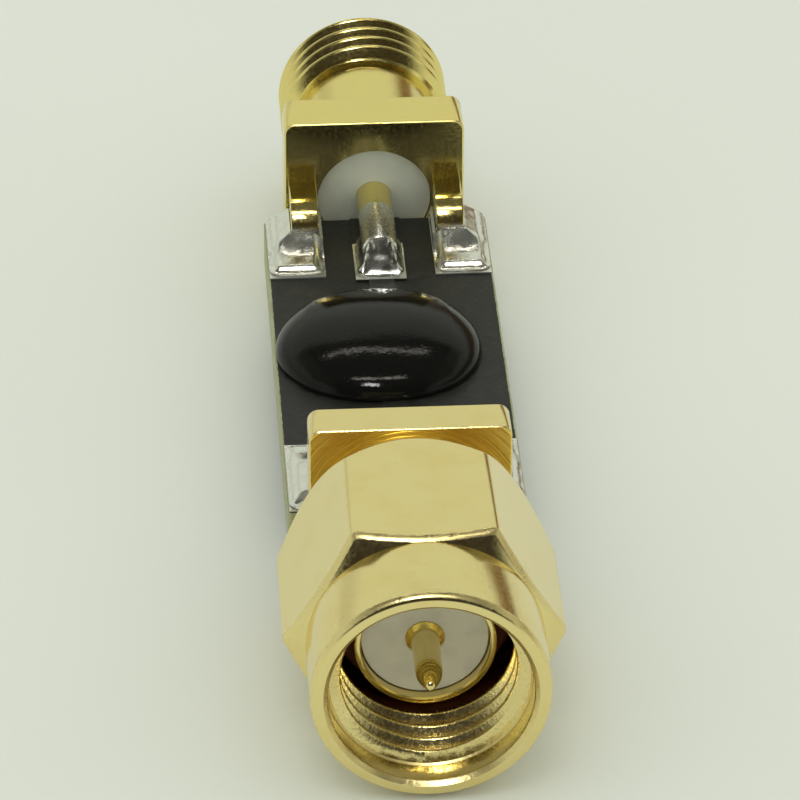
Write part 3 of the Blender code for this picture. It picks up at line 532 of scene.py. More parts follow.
class Finish(Nodes):
    """A procedural material on Object coordinates, round one Principled shader."""

    def __init__(self, name):
        self.material = bpy.data.materials.new(name)
        self.material.use_nodes = True
        super().__init__(self.material.node_tree)
        self.shader = self.tree.nodes["Principled BSDF"]
        coordinates = self.add("TexCoord").outputs
        self.place, self.normal = coordinates["Object"], coordinates["Normal"]

    def noise(self, grain, detail=2.0, stretch=None):
        """Cloudy noise with blobs of about one grain. Stretch squeezes them along each axis."""
        place = self.place
        if stretch:
            place = self.add("Mapping", {"Vector": place, "Scale": stretch}).outputs["Vector"]
        return self.add("TexNoise", {"Vector": place, "Scale": 1.0 / grain, "Detail": detail}).outputs[0]

    def radius(self):
        """Distance from the connector axis."""
        x, _, z = self.axes(self.place)
        return self.calc("SQRT", self.total(self.times(x, x), self.times(z, z)))

    def marks(self, run, feed, detail=1.0):
        """Tool marks across one direction, about a feed apart."""
        inputs = {"W": run, "Scale": 1.0 / feed, "Detail": detail}
        return self.add("TexNoise", inputs, noise_dimensions="1D").outputs[0]

    def bump(self, *layers):
        """Lays bumps over each other, each a height and its depth in metres."""
        inputs = {}
        for height, depth in layers:
            inputs.update({"Height": height, "Distance": depth, "Strength": 1.0})
            inputs["Normal"] = self.add("Bump", inputs).outputs["Normal"]
        return inputs["Normal"]

    def shade(self, **sockets):
        for name, value in sockets.items():
            self.feed(self.shader.inputs[name.replace("_", " ")], value)
        return self.material


def gold_plate(look, name="look_gold_plate", wet_reach=WET_REACH):
    """Bright gold with turning marks and faint clouds.

    It is rough in the nut's thread and worn along the nut's front edges. Where the plug's flange faces the nut
    it is painted warmer, a painted reflection of the nut's gold. Solder has wetted whatever reaches far onto
    the board.
    """
    finish = Finish(name)
    along, radius = finish.axes(finish.place)[1], finish.radius()
    facing = finish.axes(finish.normal)[1]
    cloud, grain = finish.noise(1.3 * MM, 3.0), finish.noise(0.11 * MM)
    ragged = finish.total(finish.away(along, BOARD_CENTRE.y), finish.times(grain, 0.12 * MM))
    wet = finish.fade(ragged, wet_reach, wet_reach + 0.08 * MM)
    threaded = finish.times(
        finish.ramp(radius, 2.7 * MM, 2.75 * MM),
        finish.fade(radius, 3.25 * MM, 3.3 * MM),
        finish.fade(along, NUT_LOW.y + 4.0 * MM, NUT_LOW.y + 4.1 * MM))
    worn = finish.times(
        finish.ramp(facing, -0.84, -0.76),
        finish.fade(facing, -0.2, -0.1),
        finish.ramp(radius, 3.18 * MM, 3.24 * MM))
    flange = PLUG_LOW.y + bpy.context.scene.coax_plug.flange_place
    # The flange face towards the nut: rougher turned rings, and a painted reflection of the nut's gold in its
    # colour
    turned_face_and_painted_reflection = finish.times(
        finish.fade(facing, -0.99, -0.95),
        finish.fade(finish.away(along, flange), 0.03 * MM, 0.06 * MM))

    plate = finish.mix(finish.ramp(cloud, 0.42, 0.78, 0.0, 0.6), look.gold, look.deep_gold)
    plate = finish.mix(finish.ramp(along, JACK_LOW.y - 2.0 * MM, JACK_LOW.y, 0.0, 0.8), plate, look.jack_gold)
    specks = finish.ramp(finish.noise(0.2 * MM, 1.0), 0.74, 0.82, 0.0, 0.35)
    plate = finish.mix(specks, plate, scaled(look.deep_gold, 0.5))
    # Painted reflection of the nut's gold on the flange face
    plate = finish.mix(turned_face_and_painted_reflection, plate, look.painted_reflection_gold)
    gloss = finish.ramp(grain, 0.3, 0.7, 0.75 * look.gold_roughness, 1.35 * look.gold_roughness)
    dull = ((wet, 0.12), (worn, 0.16), (threaded, 0.08), (turned_face_and_painted_reflection, 0.2))
    lathe = finish.marks(finish.total(along, radius), look.tool_mark)
    rings = finish.times(turned_face_and_painted_reflection, finish.marks(radius, 2.0 * look.tool_mark, 2.0))
    burrs = finish.times(finish.calc("MAXIMUM", threaded, worn), finish.noise(0.11 * MM, 3.0))
    return finish.shade(
        Base_Color=finish.mix(wet, plate, look.solder),
        Metallic=1.0,
        Roughness=finish.total(gloss, *(finish.times(place, share) for place, share in dull)),
        Normal=finish.bump((lathe, 0.3 * MICRON), (cloud, 1.2 * MICRON), (grain, 0.25 * MICRON),
                           (burrs, 12.0 * MICRON), (rings, 22.0 * MICRON)))


def gold_conductor(look):
    """The same plate on the two centre conductors, whose soldered tails are wetted further along."""
    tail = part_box("jack_centre_contact")[0].y - BOARD_CENTRE.y
    return gold_plate(look, "look_gold_conductor", tail + 2.5 * MM)


def bright_solder(look):
    """Smooth solder with frozen lumps and a film of flux here and there."""
    finish = Finish("look_bright_solder")
    film = finish.ramp(finish.noise(0.9 * MM, 3.0), 0.58, 0.8, 0.0, 0.5)
    return finish.shade(
        Base_Color=finish.mix(film, look.solder, look.flux),
        Metallic=1.0,
        Roughness=finish.ramp(finish.noise(0.4 * MM), 0.35, 0.7, 0.16, 0.3),
        Normal=finish.bump((finish.noise(0.3 * MM), 7.0 * MICRON), (finish.noise(0.06 * MM), 1.6 * MICRON)))


def tinned_copper(look):
    """Wavy tin with a film of flux in its hollows."""
    finish = Finish("look_tinned_copper")
    wave, grain = finish.noise(0.6 * MM), finish.noise(0.07 * MM)
    return finish.shade(
        Base_Color=finish.mix(finish.ramp(wave, 0.5, 0.8, 0.0, 0.4), look.tin, look.flux),
        Metallic=1.0,
        Roughness=finish.ramp(grain, 0.3, 0.7, 0.28, 0.46),
        Normal=finish.bump((wave, 8.0 * MICRON), (grain, 1.2 * MICRON)))


def masked_board(look):
    """Matte black mask over glass cloth on both faces, and the cut olive laminate round the edge."""
    finish = Finish("look_masked_board")
    x, y, z = finish.axes(finish.place)
    facing = finish.away(finish.axes(finish.normal)[2])
    ragged = finish.total(finish.away(x), finish.times(finish.noise(0.25 * MM), 0.06 * MM))
    masked = finish.times(
        finish.ramp(facing, 0.5, 0.8),
        finish.fade(ragged, BOARD_HIGH.x - 0.05 * MM, BOARD_HIGH.x - 0.02 * MM))
    plies, warp, weft = (finish.calc("SINE", finish.times(run, math.tau / spacing))
                         for run, spacing in ((z, look.ply), (x, look.cloth), (y, look.cloth)))
    layers = finish.total(finish.noise(0.3 * MM, 3.0, (0.3, 0.3, 6.0)), finish.times(plies, 0.06))
    dust = finish.noise(0.3 * MM, 4.0)
    cut = finish.mix(finish.ramp(layers, 0.36, 0.68), look.laminate, look.resin)
    cover = finish.mix(finish.ramp(dust, 0.45, 0.75), look.mask, scaled(look.mask, 1.9))
    return finish.shade(
        Base_Color=finish.mix(masked, cut, cover),
        Roughness=finish.ramp(dust, 0.3, 0.7, 0.42, 0.58),
        Specular_IOR_Level=0.42,
        Normal=finish.bump((finish.times(warp, weft), 1.2 * MICRON), (finish.noise(0.05 * MM), 1.5 * MICRON)))


def signal_copper(look):
    """Tinned where a conductor is soldered on, and black mask over the rest of the line."""
    finish = Finish("look_signal_copper")
    reach = finish.away(finish.axes(finish.place)[1], BOARD_CENTRE.y)
    start, end = (corner.y - BOARD_CENTRE.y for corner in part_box("solder_jack_pin"))
    bare = finish.times(
        finish.ramp(reach, start - 0.07 * MM, start - 0.05 * MM),
        finish.fade(reach, end, end + 0.02 * MM))
    wave, grain = finish.noise(0.6 * MM), finish.noise(0.07 * MM)
    tinned = finish.mix(finish.ramp(wave, 0.5, 0.8), look.tin, look.flux)
    return finish.shade(
        Base_Color=finish.mix(bare, look.mask, tinned),
        Metallic=bare,
        Roughness=finish.ramp(grain, 0.3, 0.7, 0.42, 0.58),
        Specular_IOR_Level=0.42,
        Normal=finish.bump((wave, 2.0 * MICRON), (grain, 1.5 * MICRON)))


def glossy_epoxy(look):
    """Black gloss with dust and slow waves."""
    finish = Finish("look_glossy_epoxy")
    dust = finish.ramp(finish.noise(0.12 * MM, 3.0), 0.62, 0.8)
    return finish.shade(
        Base_Color=finish.mix(dust, look.epoxy, scaled(look.epoxy, 3.0)),
        Roughness=finish.ramp(finish.noise(0.8 * MM, 3.0), 0.3, 0.7, 0.05, 0.1),
        Specular_IOR_Level=0.15,
        Normal=finish.bump((finish.noise(1.1 * MM), 5.0 * MICRON), (finish.noise(0.1 * MM), 3.4 * MICRON)))


def white_ptfe(look):
    """Waxy white with turning marks, tinted by painted gold reflection, greyer at the jack by painted shade.
    """
    finish = Finish("look_white_ptfe")
    # Painted shade: the insulator turns to the darker copy at the jack
    ptfe_with_painted_light = finish.mix(finish.ramp(finish.axes(finish.place)[1], -MM, MM), look.ptfe, look.painted_shade_ptfe)
    cloud = finish.noise(0.8 * MM, 3.0)
    return finish.shade(
        Base_Color=finish.mix(finish.ramp(cloud, 0.4, 0.75, 0.0, 0.1), ptfe_with_painted_light, (0.0, 0.0, 0.0)),
        Roughness=finish.ramp(cloud, 0.3, 0.7, 0.36, 0.5),
        Normal=finish.bump((finish.marks(finish.radius(), 0.07 * MM), 1.2 * MICRON),
                           (finish.noise(0.05 * MM), MICRON)))


def plain_finish(name, base, darker, roughness, metallic, grain, depth):
    """One colour that varies softly, with a fine grain."""
    finish = Finish(name)
    cloud, fine = finish.noise(8.0 * grain, 3.0), finish.noise(grain)
    return finish.shade(
        Base_Color=finish.mix(finish.ramp(cloud, 0.35, 0.7), base, scaled(base, darker)),
        Metallic=metallic,
        Roughness=finish.ramp(fine, 0.3, 0.7, 0.85 * roughness, 1.15 * roughness),
        Normal=finish.bump((cloud, 4.0 * depth), (fine, depth)))


def dark_silicone(look):
    return plain_finish("look_dark_silicone", look.silicone, darker=0.7, roughness=0.42, metallic=0.0,
                        grain=0.06 * MM, depth=1.5 * MICRON)


def spring_bronze(look):
    return plain_finish("look_spring_bronze", look.bronze, darker=0.75, roughness=0.32, metallic=1.0,
                        grain=0.05 * MM, depth=0.8 * MICRON)


def capped_chip(name, base, tin, centre, axis, body_half):
    """A chip or diode body with tinned ends beyond half its body length."""
    finish = Finish(name)
    away = finish.away(finish.axes(finish.place)[axis], centre[axis])
    tinned = finish.ramp(away, body_half, body_half + 0.01 * MM)
    grain = finish.noise(0.06 * MM, 3.0)
    body = finish.mix(finish.ramp(grain, 0.35, 0.7), base, scaled(base, 0.7))
    return finish.shade(
        Base_Color=finish.mix(tinned, body, tin),
        Metallic=tinned,
        Roughness=finish.ramp(grain, 0.3, 0.7, 0.34, 0.5),
        Normal=finish.bump((grain, 1.5 * MICRON)))


FINISHES = {finish.__name__: finish for finish in (
    gold_plate, gold_conductor, bright_solder, tinned_copper, masked_board, signal_copper, glossy_epoxy,
    white_ptfe, dark_silicone, spring_bronze)}


def finished(name):
    """The material of that finish, made at its first use."""
    return bpy.data.materials.get("look_" + name) or FINISHES[name](bpy.context.scene.coax_look)


def finish_node(node, material):
    """Gives a solid that stays in view its finish."""
    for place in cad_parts[node].material_slots:
        place.material = material


class COAX_OT_coupling_nut(Operator):
    """Hexagon nut with a round collar in front, a cone behind and an inside thread"""
    bl_idname = "coax.coupling_nut"
    bl_label = "Coupling nut"

    def execute(self, context):
        size = context.scene.coax_nut
        mouth, back = NUT_LOW.y, NUT_HIGH.y
        nut = self.hexagon(size, mouth + size.collar_length, back)
        collar = size.collar / 2
        combine(nut, "UNION", turn("collar", [
            (0.0, mouth),
            (collar, mouth, size.collar_edge),
            (collar, mouth + size.collar_length + SPARE),
            (0.0, mouth + size.collar_length + SPARE),
        ]))
        combine(nut, "DIFFERENCE", self.bore(size, mouth, back))
        combine(nut, "UNION", self.inside_thread(size, mouth + size.lead_in_length))
        smooth(nut)
        dress(nut, "gold_plate", "coupling_nut", "gold", "coupling_nut")
        return {"FINISHED"}

    def hexagon(self, size, front, back):
        """Hexagon bar with rounded corners, chamfered in front and cut to a cone at the back."""
        corner = NUT_HIGH.z / math.cos(math.pi / 6)
        wide, narrow, inner = corner + SPARE, size.back_face / 2, size.front_face / 2
        flat, chamfer, cone, end = 0.0, -math.cos(size.chamfer), math.sin(size.cone), 1.0
        deselect()
        bpy.ops.mesh.primitive_cylinder_add(
            vertices=6, radius=corner, depth=back - front + 2 * SPARE,
            location=(0.0, (front + back) / 2, 0.0), rotation=(math.pi / 2, math.pi / 6, 0.0))
        bar = open_piece("hexagon_nut")
        close_piece()
        self.trim(bar, [
            (0.0, front),
            (inner, front),
            (wide, front + (wide - inner) * math.tan(size.chamfer)),
            (wide, back + 2 * SPARE),
            (0.0, back + 2 * SPARE),
        ], CHAMFER_STEPS, size.flat_edge, joins((flat, flat), (chamfer, flat)), ARC_STEPS)
        self.trim(bar, [
            (0.0, front - SPARE),
            (wide, front - SPARE),
            (wide, back - (wide - narrow) / math.tan(size.cone)),
            (narrow, back),
            (0.0, back),
        ], CONE_STEPS, size.cone_edge, joins((flat, cone), (cone, end)), BREAK_STEPS)
        return bar

    def trim(self, bar, profile, steps, width, test, arc):
        """Keeps what lies inside a turned profile, and rounds the edges that pass a test.

        The turned shape stands half a step round, so that none of its facets ends at a corner of the bar.
        """
        shape = turn("trim", profile, steps)
        shape.rotation_euler.y = math.pi / steps
        combine(bar, "INTERSECT", shape)
        work_on(bar)
        bpy.ops.object.mode_set(mode="EDIT")
        round_edges(bar, width, test, arc)
        close_piece()

    def bore(self, size, mouth, back):
        lead_in, root, relief = size.lead_in / 2, size.root / 2, size.relief / 2
        bore, groove = size.bore / 2, size.groove / 2
        thread_start = mouth + size.lead_in_length
        thread_end = thread_start + size.thread_length
        groove_front = mouth + size.groove_place - size.groove_width / 2
        groove_back = groove_front + size.groove_width
        return turn("nut_bore", [
            (0.0, mouth - SPARE),
            (lead_in + size.mouth_edge + SPARE, mouth - SPARE),
            (lead_in, mouth + size.mouth_edge, SMALL_EDGE),
            (lead_in, thread_start - size.thread_step),
            (root, thread_start + size.thread_step),
            (root, thread_end),
            (relief, thread_end, SMALL_EDGE),
            (relief, mouth + size.web, SOFT_EDGE),
            (bore, mouth + size.web),
            (bore, groove_front),
            (groove, groove_front),
            (groove, groove_back),
            (bore, groove_back),
            (bore, back + SPARE),
            (0.0, back + SPARE),
        ])

    def inside_thread(self, size, start):
        root, crest, end = size.root / 2, size.crest / 2, start + size.thread_length
        outside, inside = root + ROOTING + SPARE, crest - SPARE
        ridge = thread("inside_thread", root, crest, start, end, size.pitch)
        combine(ridge, "INTERSECT", turn("thread_room", [
            (root + GAP, start + GAP),
            (outside, start + GAP),
            (outside, end - GAP),
            (inside, end - GAP),
            (inside, start + RUN_IN * (root - inside)),
        ]))
        return ridge


def flange_body(name, low_y, high_y, half_width, half_height, size):
    """Square flange with rounded corners and edges."""
    flange = block(name, (-half_width, low_y, -half_height), (half_width, high_y, half_height))
    round_edges(flange, size.corner, runs_along(1), CORNER_STEPS)
    round_edges(flange, size.edge, lies_in(1, low_y, high_y), EDGE_STEPS)
    close_piece()
    return flange


def add_prongs(piece, face, tip, size):
    """Joins two prongs above the board and two below it to a flange."""
    towards = math.copysign(1.0, tip - face)
    low_y, high_y = sorted((face - towards * size.prong_root, tip))
    heights = ((TOP_SEAT, TOP_SEAT + size.prong_rise), (UNDER_SEAT - size.prong_foot, UNDER_SEAT))
    for side in (-1, 1):
        low_x, high_x = sorted((side * size.prong_inside, side * (size.prong_inside + size.prong_width)))
        for low_z, high_z in heights:
            prong = block("prong", (low_x, low_y, low_z), (high_x, high_y, high_z))
            outside = high_z if low_z == TOP_SEAT else low_z
            round_edges(prong, min(size.prong_nose, size.prong_blunt * (high_z - low_z)),
                        lambda edge: lies_in(1, tip)(edge) and lies_in(2, outside)(edge), NOSE_STEPS)
            round_edges(prong, size.edge, lies_in(0, low_x, high_x), EDGE_STEPS)
            close_piece()
            combine(piece, "UNION", prong)


class COAX_OT_plug_shell(Operator):
    """Turned sleeve and journal of the plug, its square flange and the prongs that grip the board"""
    bl_idname = "coax.plug_shell"
    bl_label = "Plug shell"

    def execute(self, context):
        size, flange = context.scene.coax_plug, context.scene.coax_flange
        front = PLUG_LOW.y
        sleeve, journal, groove = size.sleeve / 2, size.journal / 2, size.groove / 2
        face = front + size.flange_place
        back = face + size.flange
        step = front + size.sleeve_length
        groove_front = front + size.groove_place - size.groove_width / 2
        groove_back = groove_front + size.groove_width
        shell = flange_body("plug_shell", face, back, PLUG_HIGH.x, PLUG_HIGH.z, flange)
        combine(shell, "UNION", turn("plug_shaft", [
            (0.0, front),
            (sleeve, front, size.sleeve_edge),
            (sleeve, step),
            (journal, step, SOFT_EDGE),
            (journal, groove_front, FINE_EDGE),
            (groove, groove_front),
            (groove, groove_back),
            (journal, groove_back, FINE_EDGE),
            (journal, (face + back) / 2),
            (0.0, (face + back) / 2),
        ]))
        add_prongs(shell, back, PLUG_HIGH.y, flange)
        bore = size.bore / 2
        combine(shell, "DIFFERENCE", turn("plug_bore", [
            (0.0, front - SPARE),
            (bore + SPARE + SMALL_EDGE, front - SPARE),
            (bore, front + SMALL_EDGE),
            (bore, back + SPARE),
            (0.0, back + SPARE),
        ]))
        smooth(shell)
        dress(shell, "gold_plate", "module", "gold", "plug_body")
        return {"FINISHED"}


class COAX_OT_jack_shell(Operator):
    """Square flange of the jack with its prongs, neck and threaded barrel"""
    bl_idname = "coax.jack_shell"
    bl_label = "Jack shell"

    def execute(self, context):
        size, flange = context.scene.coax_jack, context.scene.coax_flange
        face, end = BOARD_HIGH.y + GAP, JACK_HIGH.y
        neck, core, barrel = size.neck / 2, size.core / 2, size.barrel / 2
        start = face + size.neck_end
        shell = flange_body("jack_shell", face, face + size.flange, JACK_HIGH.x, JACK_HIGH.z, flange)
        combine(shell, "UNION", turn("jack_shaft", [
            (0.0, face + size.flange / 2),
            (neck, face + size.flange / 2),
            (neck, start + SMALL_EDGE),
            (core, start + SMALL_EDGE, SMALL_EDGE),
            (core, end, SOFT_EDGE),
            (0.0, end),
        ]))
        add_prongs(shell, face, JACK_LOW.y, flange)
        ridge = thread("outside_thread", core, barrel, start, end, size.pitch)
        combine(ridge, "INTERSECT", turn("barrel_room", [
            (core - SPARE, start),
            (barrel - size.barrel_edge, start),
            (barrel, start + size.barrel_edge),
            (barrel, end - size.barrel_edge),
            (barrel - size.barrel_edge, end - GAP),
            (core - SPARE, end - GAP),
        ]))
        combine(shell, "UNION", ridge)
        bore, mouth = size.bore / 2, size.mouth / 2
        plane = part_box("jack_insulator")[1].y
        combine(shell, "DIFFERENCE", turn("jack_bore", [
            (0.0, face - SPARE),
            (bore, face - SPARE),
            (bore, plane),
            (mouth, plane, size.mouth_round),
            (mouth, end - size.mouth_edge, size.mouth_round),
            (mouth + size.mouth_edge + SPARE, end + SPARE),
            (0.0, end + SPARE),
        ]))
        smooth(shell)
        dress(shell, "gold_plate", "module", "gold", "jack_body")
        return {"FINISHED"}


class COAX_OT_insulators(Operator):
    """White tubes that hold the centre conductors in the plug and the jack"""
    bl_idname = "coax.insulators"
    bl_label = "Insulators"

    def execute(self, context):
        hole = context.scene.coax_solder.tail / 2 + GAP / 4
        for node in ("plug_insulator", "jack_insulator"):
            low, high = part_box(node)
            tube = turn(node + "_tube", [
                (hole, low.y),
                (high.x, low.y, FINE_EDGE),
                (high.x, high.y, FINE_EDGE),
                (hole, high.y),
            ])
            smooth(tube)
            dress(tube, "white_ptfe", "module", "ptfe", node)
        return {"FINISHED"}


class COAX_OT_conductors(Operator):
    """Centre pin of the plug and slotted centre contact of the jack"""
    bl_idname = "coax.conductors"
    bl_label = "Centre conductors"

    def execute(self, context):
        self.pin(context.scene.coax_plug, context.scene.coax_solder)
        self.contact(context.scene.coax_jack, context.scene.coax_solder)
        return {"FINISHED"}

    def pin(self, size, solder):
        low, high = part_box("plug_centre_pin")
        body, pin = solder.tail / 2, size.pin / 2
        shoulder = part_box("plug_insulator")[0].y - size.shoulder
        piece = turn("pointed_pin", [
            (0.0, low.y),
            (size.pin_tip * pin, low.y, SOFT_EDGE),
            (pin, low.y + size.pin_point, size.pin_round),
            (pin, shoulder, FINE_EDGE),
            (body, shoulder + size.shoulder_slope * size.shoulder, size.shoulder_edge),
            (body, high.y, solder.tail_edge),
            (0.0, high.y),
        ], FINE_STEPS)
        smooth(piece)
        dress(piece, "gold_conductor", "module", "gold", "plug_centre_pin")

    def contact(self, size, solder):
        low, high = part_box("jack_centre_contact")
        body, bore = solder.tail / 2, size.contact_bore / 2
        piece = turn("slotted_contact", [
            (0.0, low.y),
            (body, low.y, solder.tail_edge),
            (body, high.y, size.mouth_round),
            (bore + size.contact_lip, high.y, FINE_EDGE),
            (bore, high.y - SOFT_EDGE, FINE_EDGE),
            (bore, high.y - size.contact_depth),
            (0.0, high.y - size.contact_depth),
        ], FINE_STEPS)
        half, wide = size.slot / 2, solder.tail
        for across, up in ((half, wide), (wide, half)):
            cut_block(piece, (-across, high.y - size.slot_depth, -up), (across, high.y + SPARE, up))
        smooth(piece)
        dress(piece, "gold_conductor", "module", "gold", "jack_centre_contact")


class COAX_OT_gasket(Operator):
    """Soft ring round the root of the plug's sleeve, and the finish of the split ring behind it"""
    bl_idname = "coax.gasket"
    bl_label = "Gasket and retaining ring"

    def execute(self, context):
        size = context.scene.coax_plug
        low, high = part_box("gasket")
        hole = size.sleeve / 2 + GAP
        ring = turn("soft_gasket", [
            (hole, low.y, size.gasket_edge),
            (high.x, low.y, size.gasket_crown),
            (high.x, high.y, SOFT_EDGE),
            (hole, high.y, SMALL_EDGE),
        ])
        smooth(ring)
        dress(ring, "dark_silicone", "module", "silicone", "gasket")
        finish_node("retaining_ring", finished("spring_bronze"))
        return {"FINISHED"}


class COAX_OT_board(Operator):
    """Circuit board with masked faces, and the finish of its copper"""
    bl_idname = "coax.board"
    bl_label = "Circuit board"

    def execute(self, context):
        board = block("masked_board", BOARD_LOW, BOARD_HIGH)
        round_edges(board, BOARD_CORNER, runs_along(2))
        round_edges(board, BOARD_EDGE, lies_in(2, BOARD_LOW.z, BOARD_HIGH.z), BREAK_STEPS)
        close_piece()
        smooth(board)
        dress(board, "masked_board", "module", "board", "circuit_board")
        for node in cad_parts:
            if node.startswith(("pad_", "shunt_pad_")):
                finish_node(node, finished("tinned_copper"))
            elif node.startswith("signal_line"):
                finish_node(node, finished("signal_copper"))
        return {"FINISHED"}


def solder_pool(name, low, high, size):
    """A sheet of solder over a pad, its rim drawn down in a round edge. It is left open for editing."""
    deselect()
    wide, long = high.x - low.x, high.y - low.y
    bpy.ops.mesh.primitive_grid_add(
        x_subdivisions=math.ceil(wide / SOLDER_CELL), y_subdivisions=math.ceil(long / SOLDER_CELL), size=1.0,
        location=((low.x + high.x) / 2, (low.y + high.y) / 2, low.z + size.layer))
    bpy.context.active_object.scale = (wide, long, 1.0)
    pool = open_piece(name)
    draw_up(pool, size.rim_layer - size.layer, size.rim, lambda vertex: vertex.is_boundary, "SPHERE")
    return pool


def draw_up(piece, rise, reach, test, falloff="SHARP"):
    """Pulls the vertices that pass a test upwards, with a slope round them, by default a hollow one."""
    pick(piece, "VERT", test)
    bpy.ops.transform.translate(value=(0.0, 0.0, rise), use_proportional_edit=True,
                                proportional_edit_falloff=falloff, proportional_size=reach)


def freeze(piece, size):
    """Gives the sheet of solder its frozen lumps."""
    bpy.ops.object.mode_set(mode="OBJECT")
    lumps = bpy.data.textures.get("solder_lumps") or bpy.data.textures.new("solder_lumps", "CLOUDS")
    lumps.noise_scale = size.lump
    apply(piece, "DISPLACE", texture=lumps, texture_coords="GLOBAL", strength=size.lump_height, mid_level=0.5)


def thicken(piece, low, high, size):
    """Fills the sheet down to its pad and rounds the corners of its outline."""
    work_on(piece)
    bpy.ops.object.mode_set(mode="EDIT")
    bpy.ops.mesh.select_all(action="SELECT")
    bpy.ops.mesh.extrude_region_move(TRANSFORM_OT_translate={"value": (0.0, 0.0, -size.layer)})
    bpy.ops.transform.resize(value=(1.0, 1.0, 0.0), center_override=(0.0, 0.0, low.z))
    close_piece()
    room = block("outline_room", (low.x + GAP / 2, low.y + GAP / 2, low.z - SPARE),
                 (high.x - GAP / 2, high.y - GAP / 2, CAD_BOX[1].z))
    round_edges(room, size.corner, runs_along(2), POOL_STEPS)
    close_piece()
    combine(piece, "INTERSECT", room)


def mirror(piece, flip):
    """Mirrors a piece about the middle of the board."""
    work_on(piece)
    bpy.ops.object.mode_set(mode="EDIT")
    bpy.ops.mesh.select_all(action="SELECT")
    bpy.ops.transform.resize(value=flip, center_override=BOARD_CENTRE)
    close_piece()


def mirrored(low, high, flip):
    """Lowest and highest corner of a box that is mirrored about the middle of the board."""
    turned = Matrix.Diagonal(flip)
    corners = [BOARD_CENTRE + turned @ (Vector(corner) - BOARD_CENTRE) for corner in (low, high)]
    return Vector(map(min, *corners)), Vector(map(max, *corners))


class COAX_OT_prong_joints(Operator):
    """Solder between the eight prongs and their pads"""
    bl_idname = "coax.prong_joints"
    bl_label = "Prong solder"

    def execute(self, context):
        size, flange = context.scene.coax_solder, context.scene.coax_flange
        for end, along in (("jack", 1.0), ("plug", -1.0)):
            for face, up in (("top", 1.0), ("bottom", -1.0)):
                for side, across in (("right", 1.0), ("left", -1.0)):
                    place = f"{end}_{face}_{side}"
                    joint = self.joint(f"joint_{place}", size, flange, (across, along, 1.0), up)
                    dress(joint, "bright_solder", "module", "solder", f"solder_{place}")
        return {"FINISHED"}

    def joint(self, name, size, flange, flip, up):
        """The joint at the jack's upper right, mirrored to its own place before its lumps freeze."""
        low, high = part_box("solder_jack_top_right")
        inner, outer, tip = flange.prong_inside, flange.prong_inside + flange.prong_width, JACK_LOW.y

        def at_prong(vertex):
            return inner - size.skin < vertex.co.x < outer + size.skin and vertex.co.y > tip - size.skin

        joint = solder_pool(name, low, high, size)
        draw_up(joint, size.climb, size.slope, at_prong)
        pick(joint, "VERT", lambda vertex: not vertex.is_boundary)
        bpy.ops.mesh.vertices_smooth(factor=0.5, repeat=size.flow)
        bpy.ops.object.mode_set(mode="OBJECT")
        mirror(joint, flip)
        freeze(joint, size)
        thicken(joint, *mirrored(low, high, flip), size)
        cut_block(joint, *mirrored((inner - GAP, tip - GAP, low.z - SPARE),
                                   (outer + GAP, BOARD_HIGH.y + SPARE, CAD_BOX[1].z), flip))
        if up < 0.0:
            mirror(joint, (1.0, 1.0, up))
        smooth(joint)
        return joint


class COAX_OT_pin_joints(Operator):
    """Solder between the two centre conductors and the signal line"""
    bl_idname = "coax.pin_joints"
    bl_label = "Pin solder"

    def execute(self, context):
        size = context.scene.coax_solder
        for end, conductor in (("jack", "jack_centre_contact"), ("plug", "plug_centre_pin")):
            low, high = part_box(f"solder_{end}_pin")
            tail_low, tail_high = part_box(conductor)
            towards = -1 if end == "jack" else 1
            tip = tail_low.y if end == "jack" else tail_high.y
            outside = low.y if end == "jack" else high.y
            joint = solder_pool(f"joint_{end}_pin", low, high, size)

            def over_tail(vertex):
                return abs(vertex.co.x) < size.pin_crest and (vertex.co.y - tip) * towards < size.skin

            draw_up(joint, size.pin_climb - size.layer, size.pin_slope, over_tail)
            for run in RIDGE_RUNS:
                across = size.pin_crest + run * (high.x - size.pin_crest)
                along = tip + run * (outside - tip)

                def on_ridge(vertex):
                    return math.hypot(abs(vertex.co.x) - across, vertex.co.y - along) < SOLDER_CELL

                draw_up(joint, (1.0 - run) * size.pin_ridge, size.pin_ridge_reach, on_ridge, "SMOOTH")
            freeze(joint, size)
            thicken(joint, low, high, size)
            start, stop = sorted((tip + towards * GAP, tip - towards * 2 * (high.y - low.y)))
            combine(joint, "DIFFERENCE", turn("tail_room", [
                (0.0, start),
                (size.tail / 2 + GAP, start),
                (size.tail / 2 + GAP, stop),
                (0.0, stop),
            ], FINE_STEPS))
            smooth(joint)
            dress(joint, "bright_solder", "module", "solder", f"solder_{end}_pin")
        return {"FINISHED"}


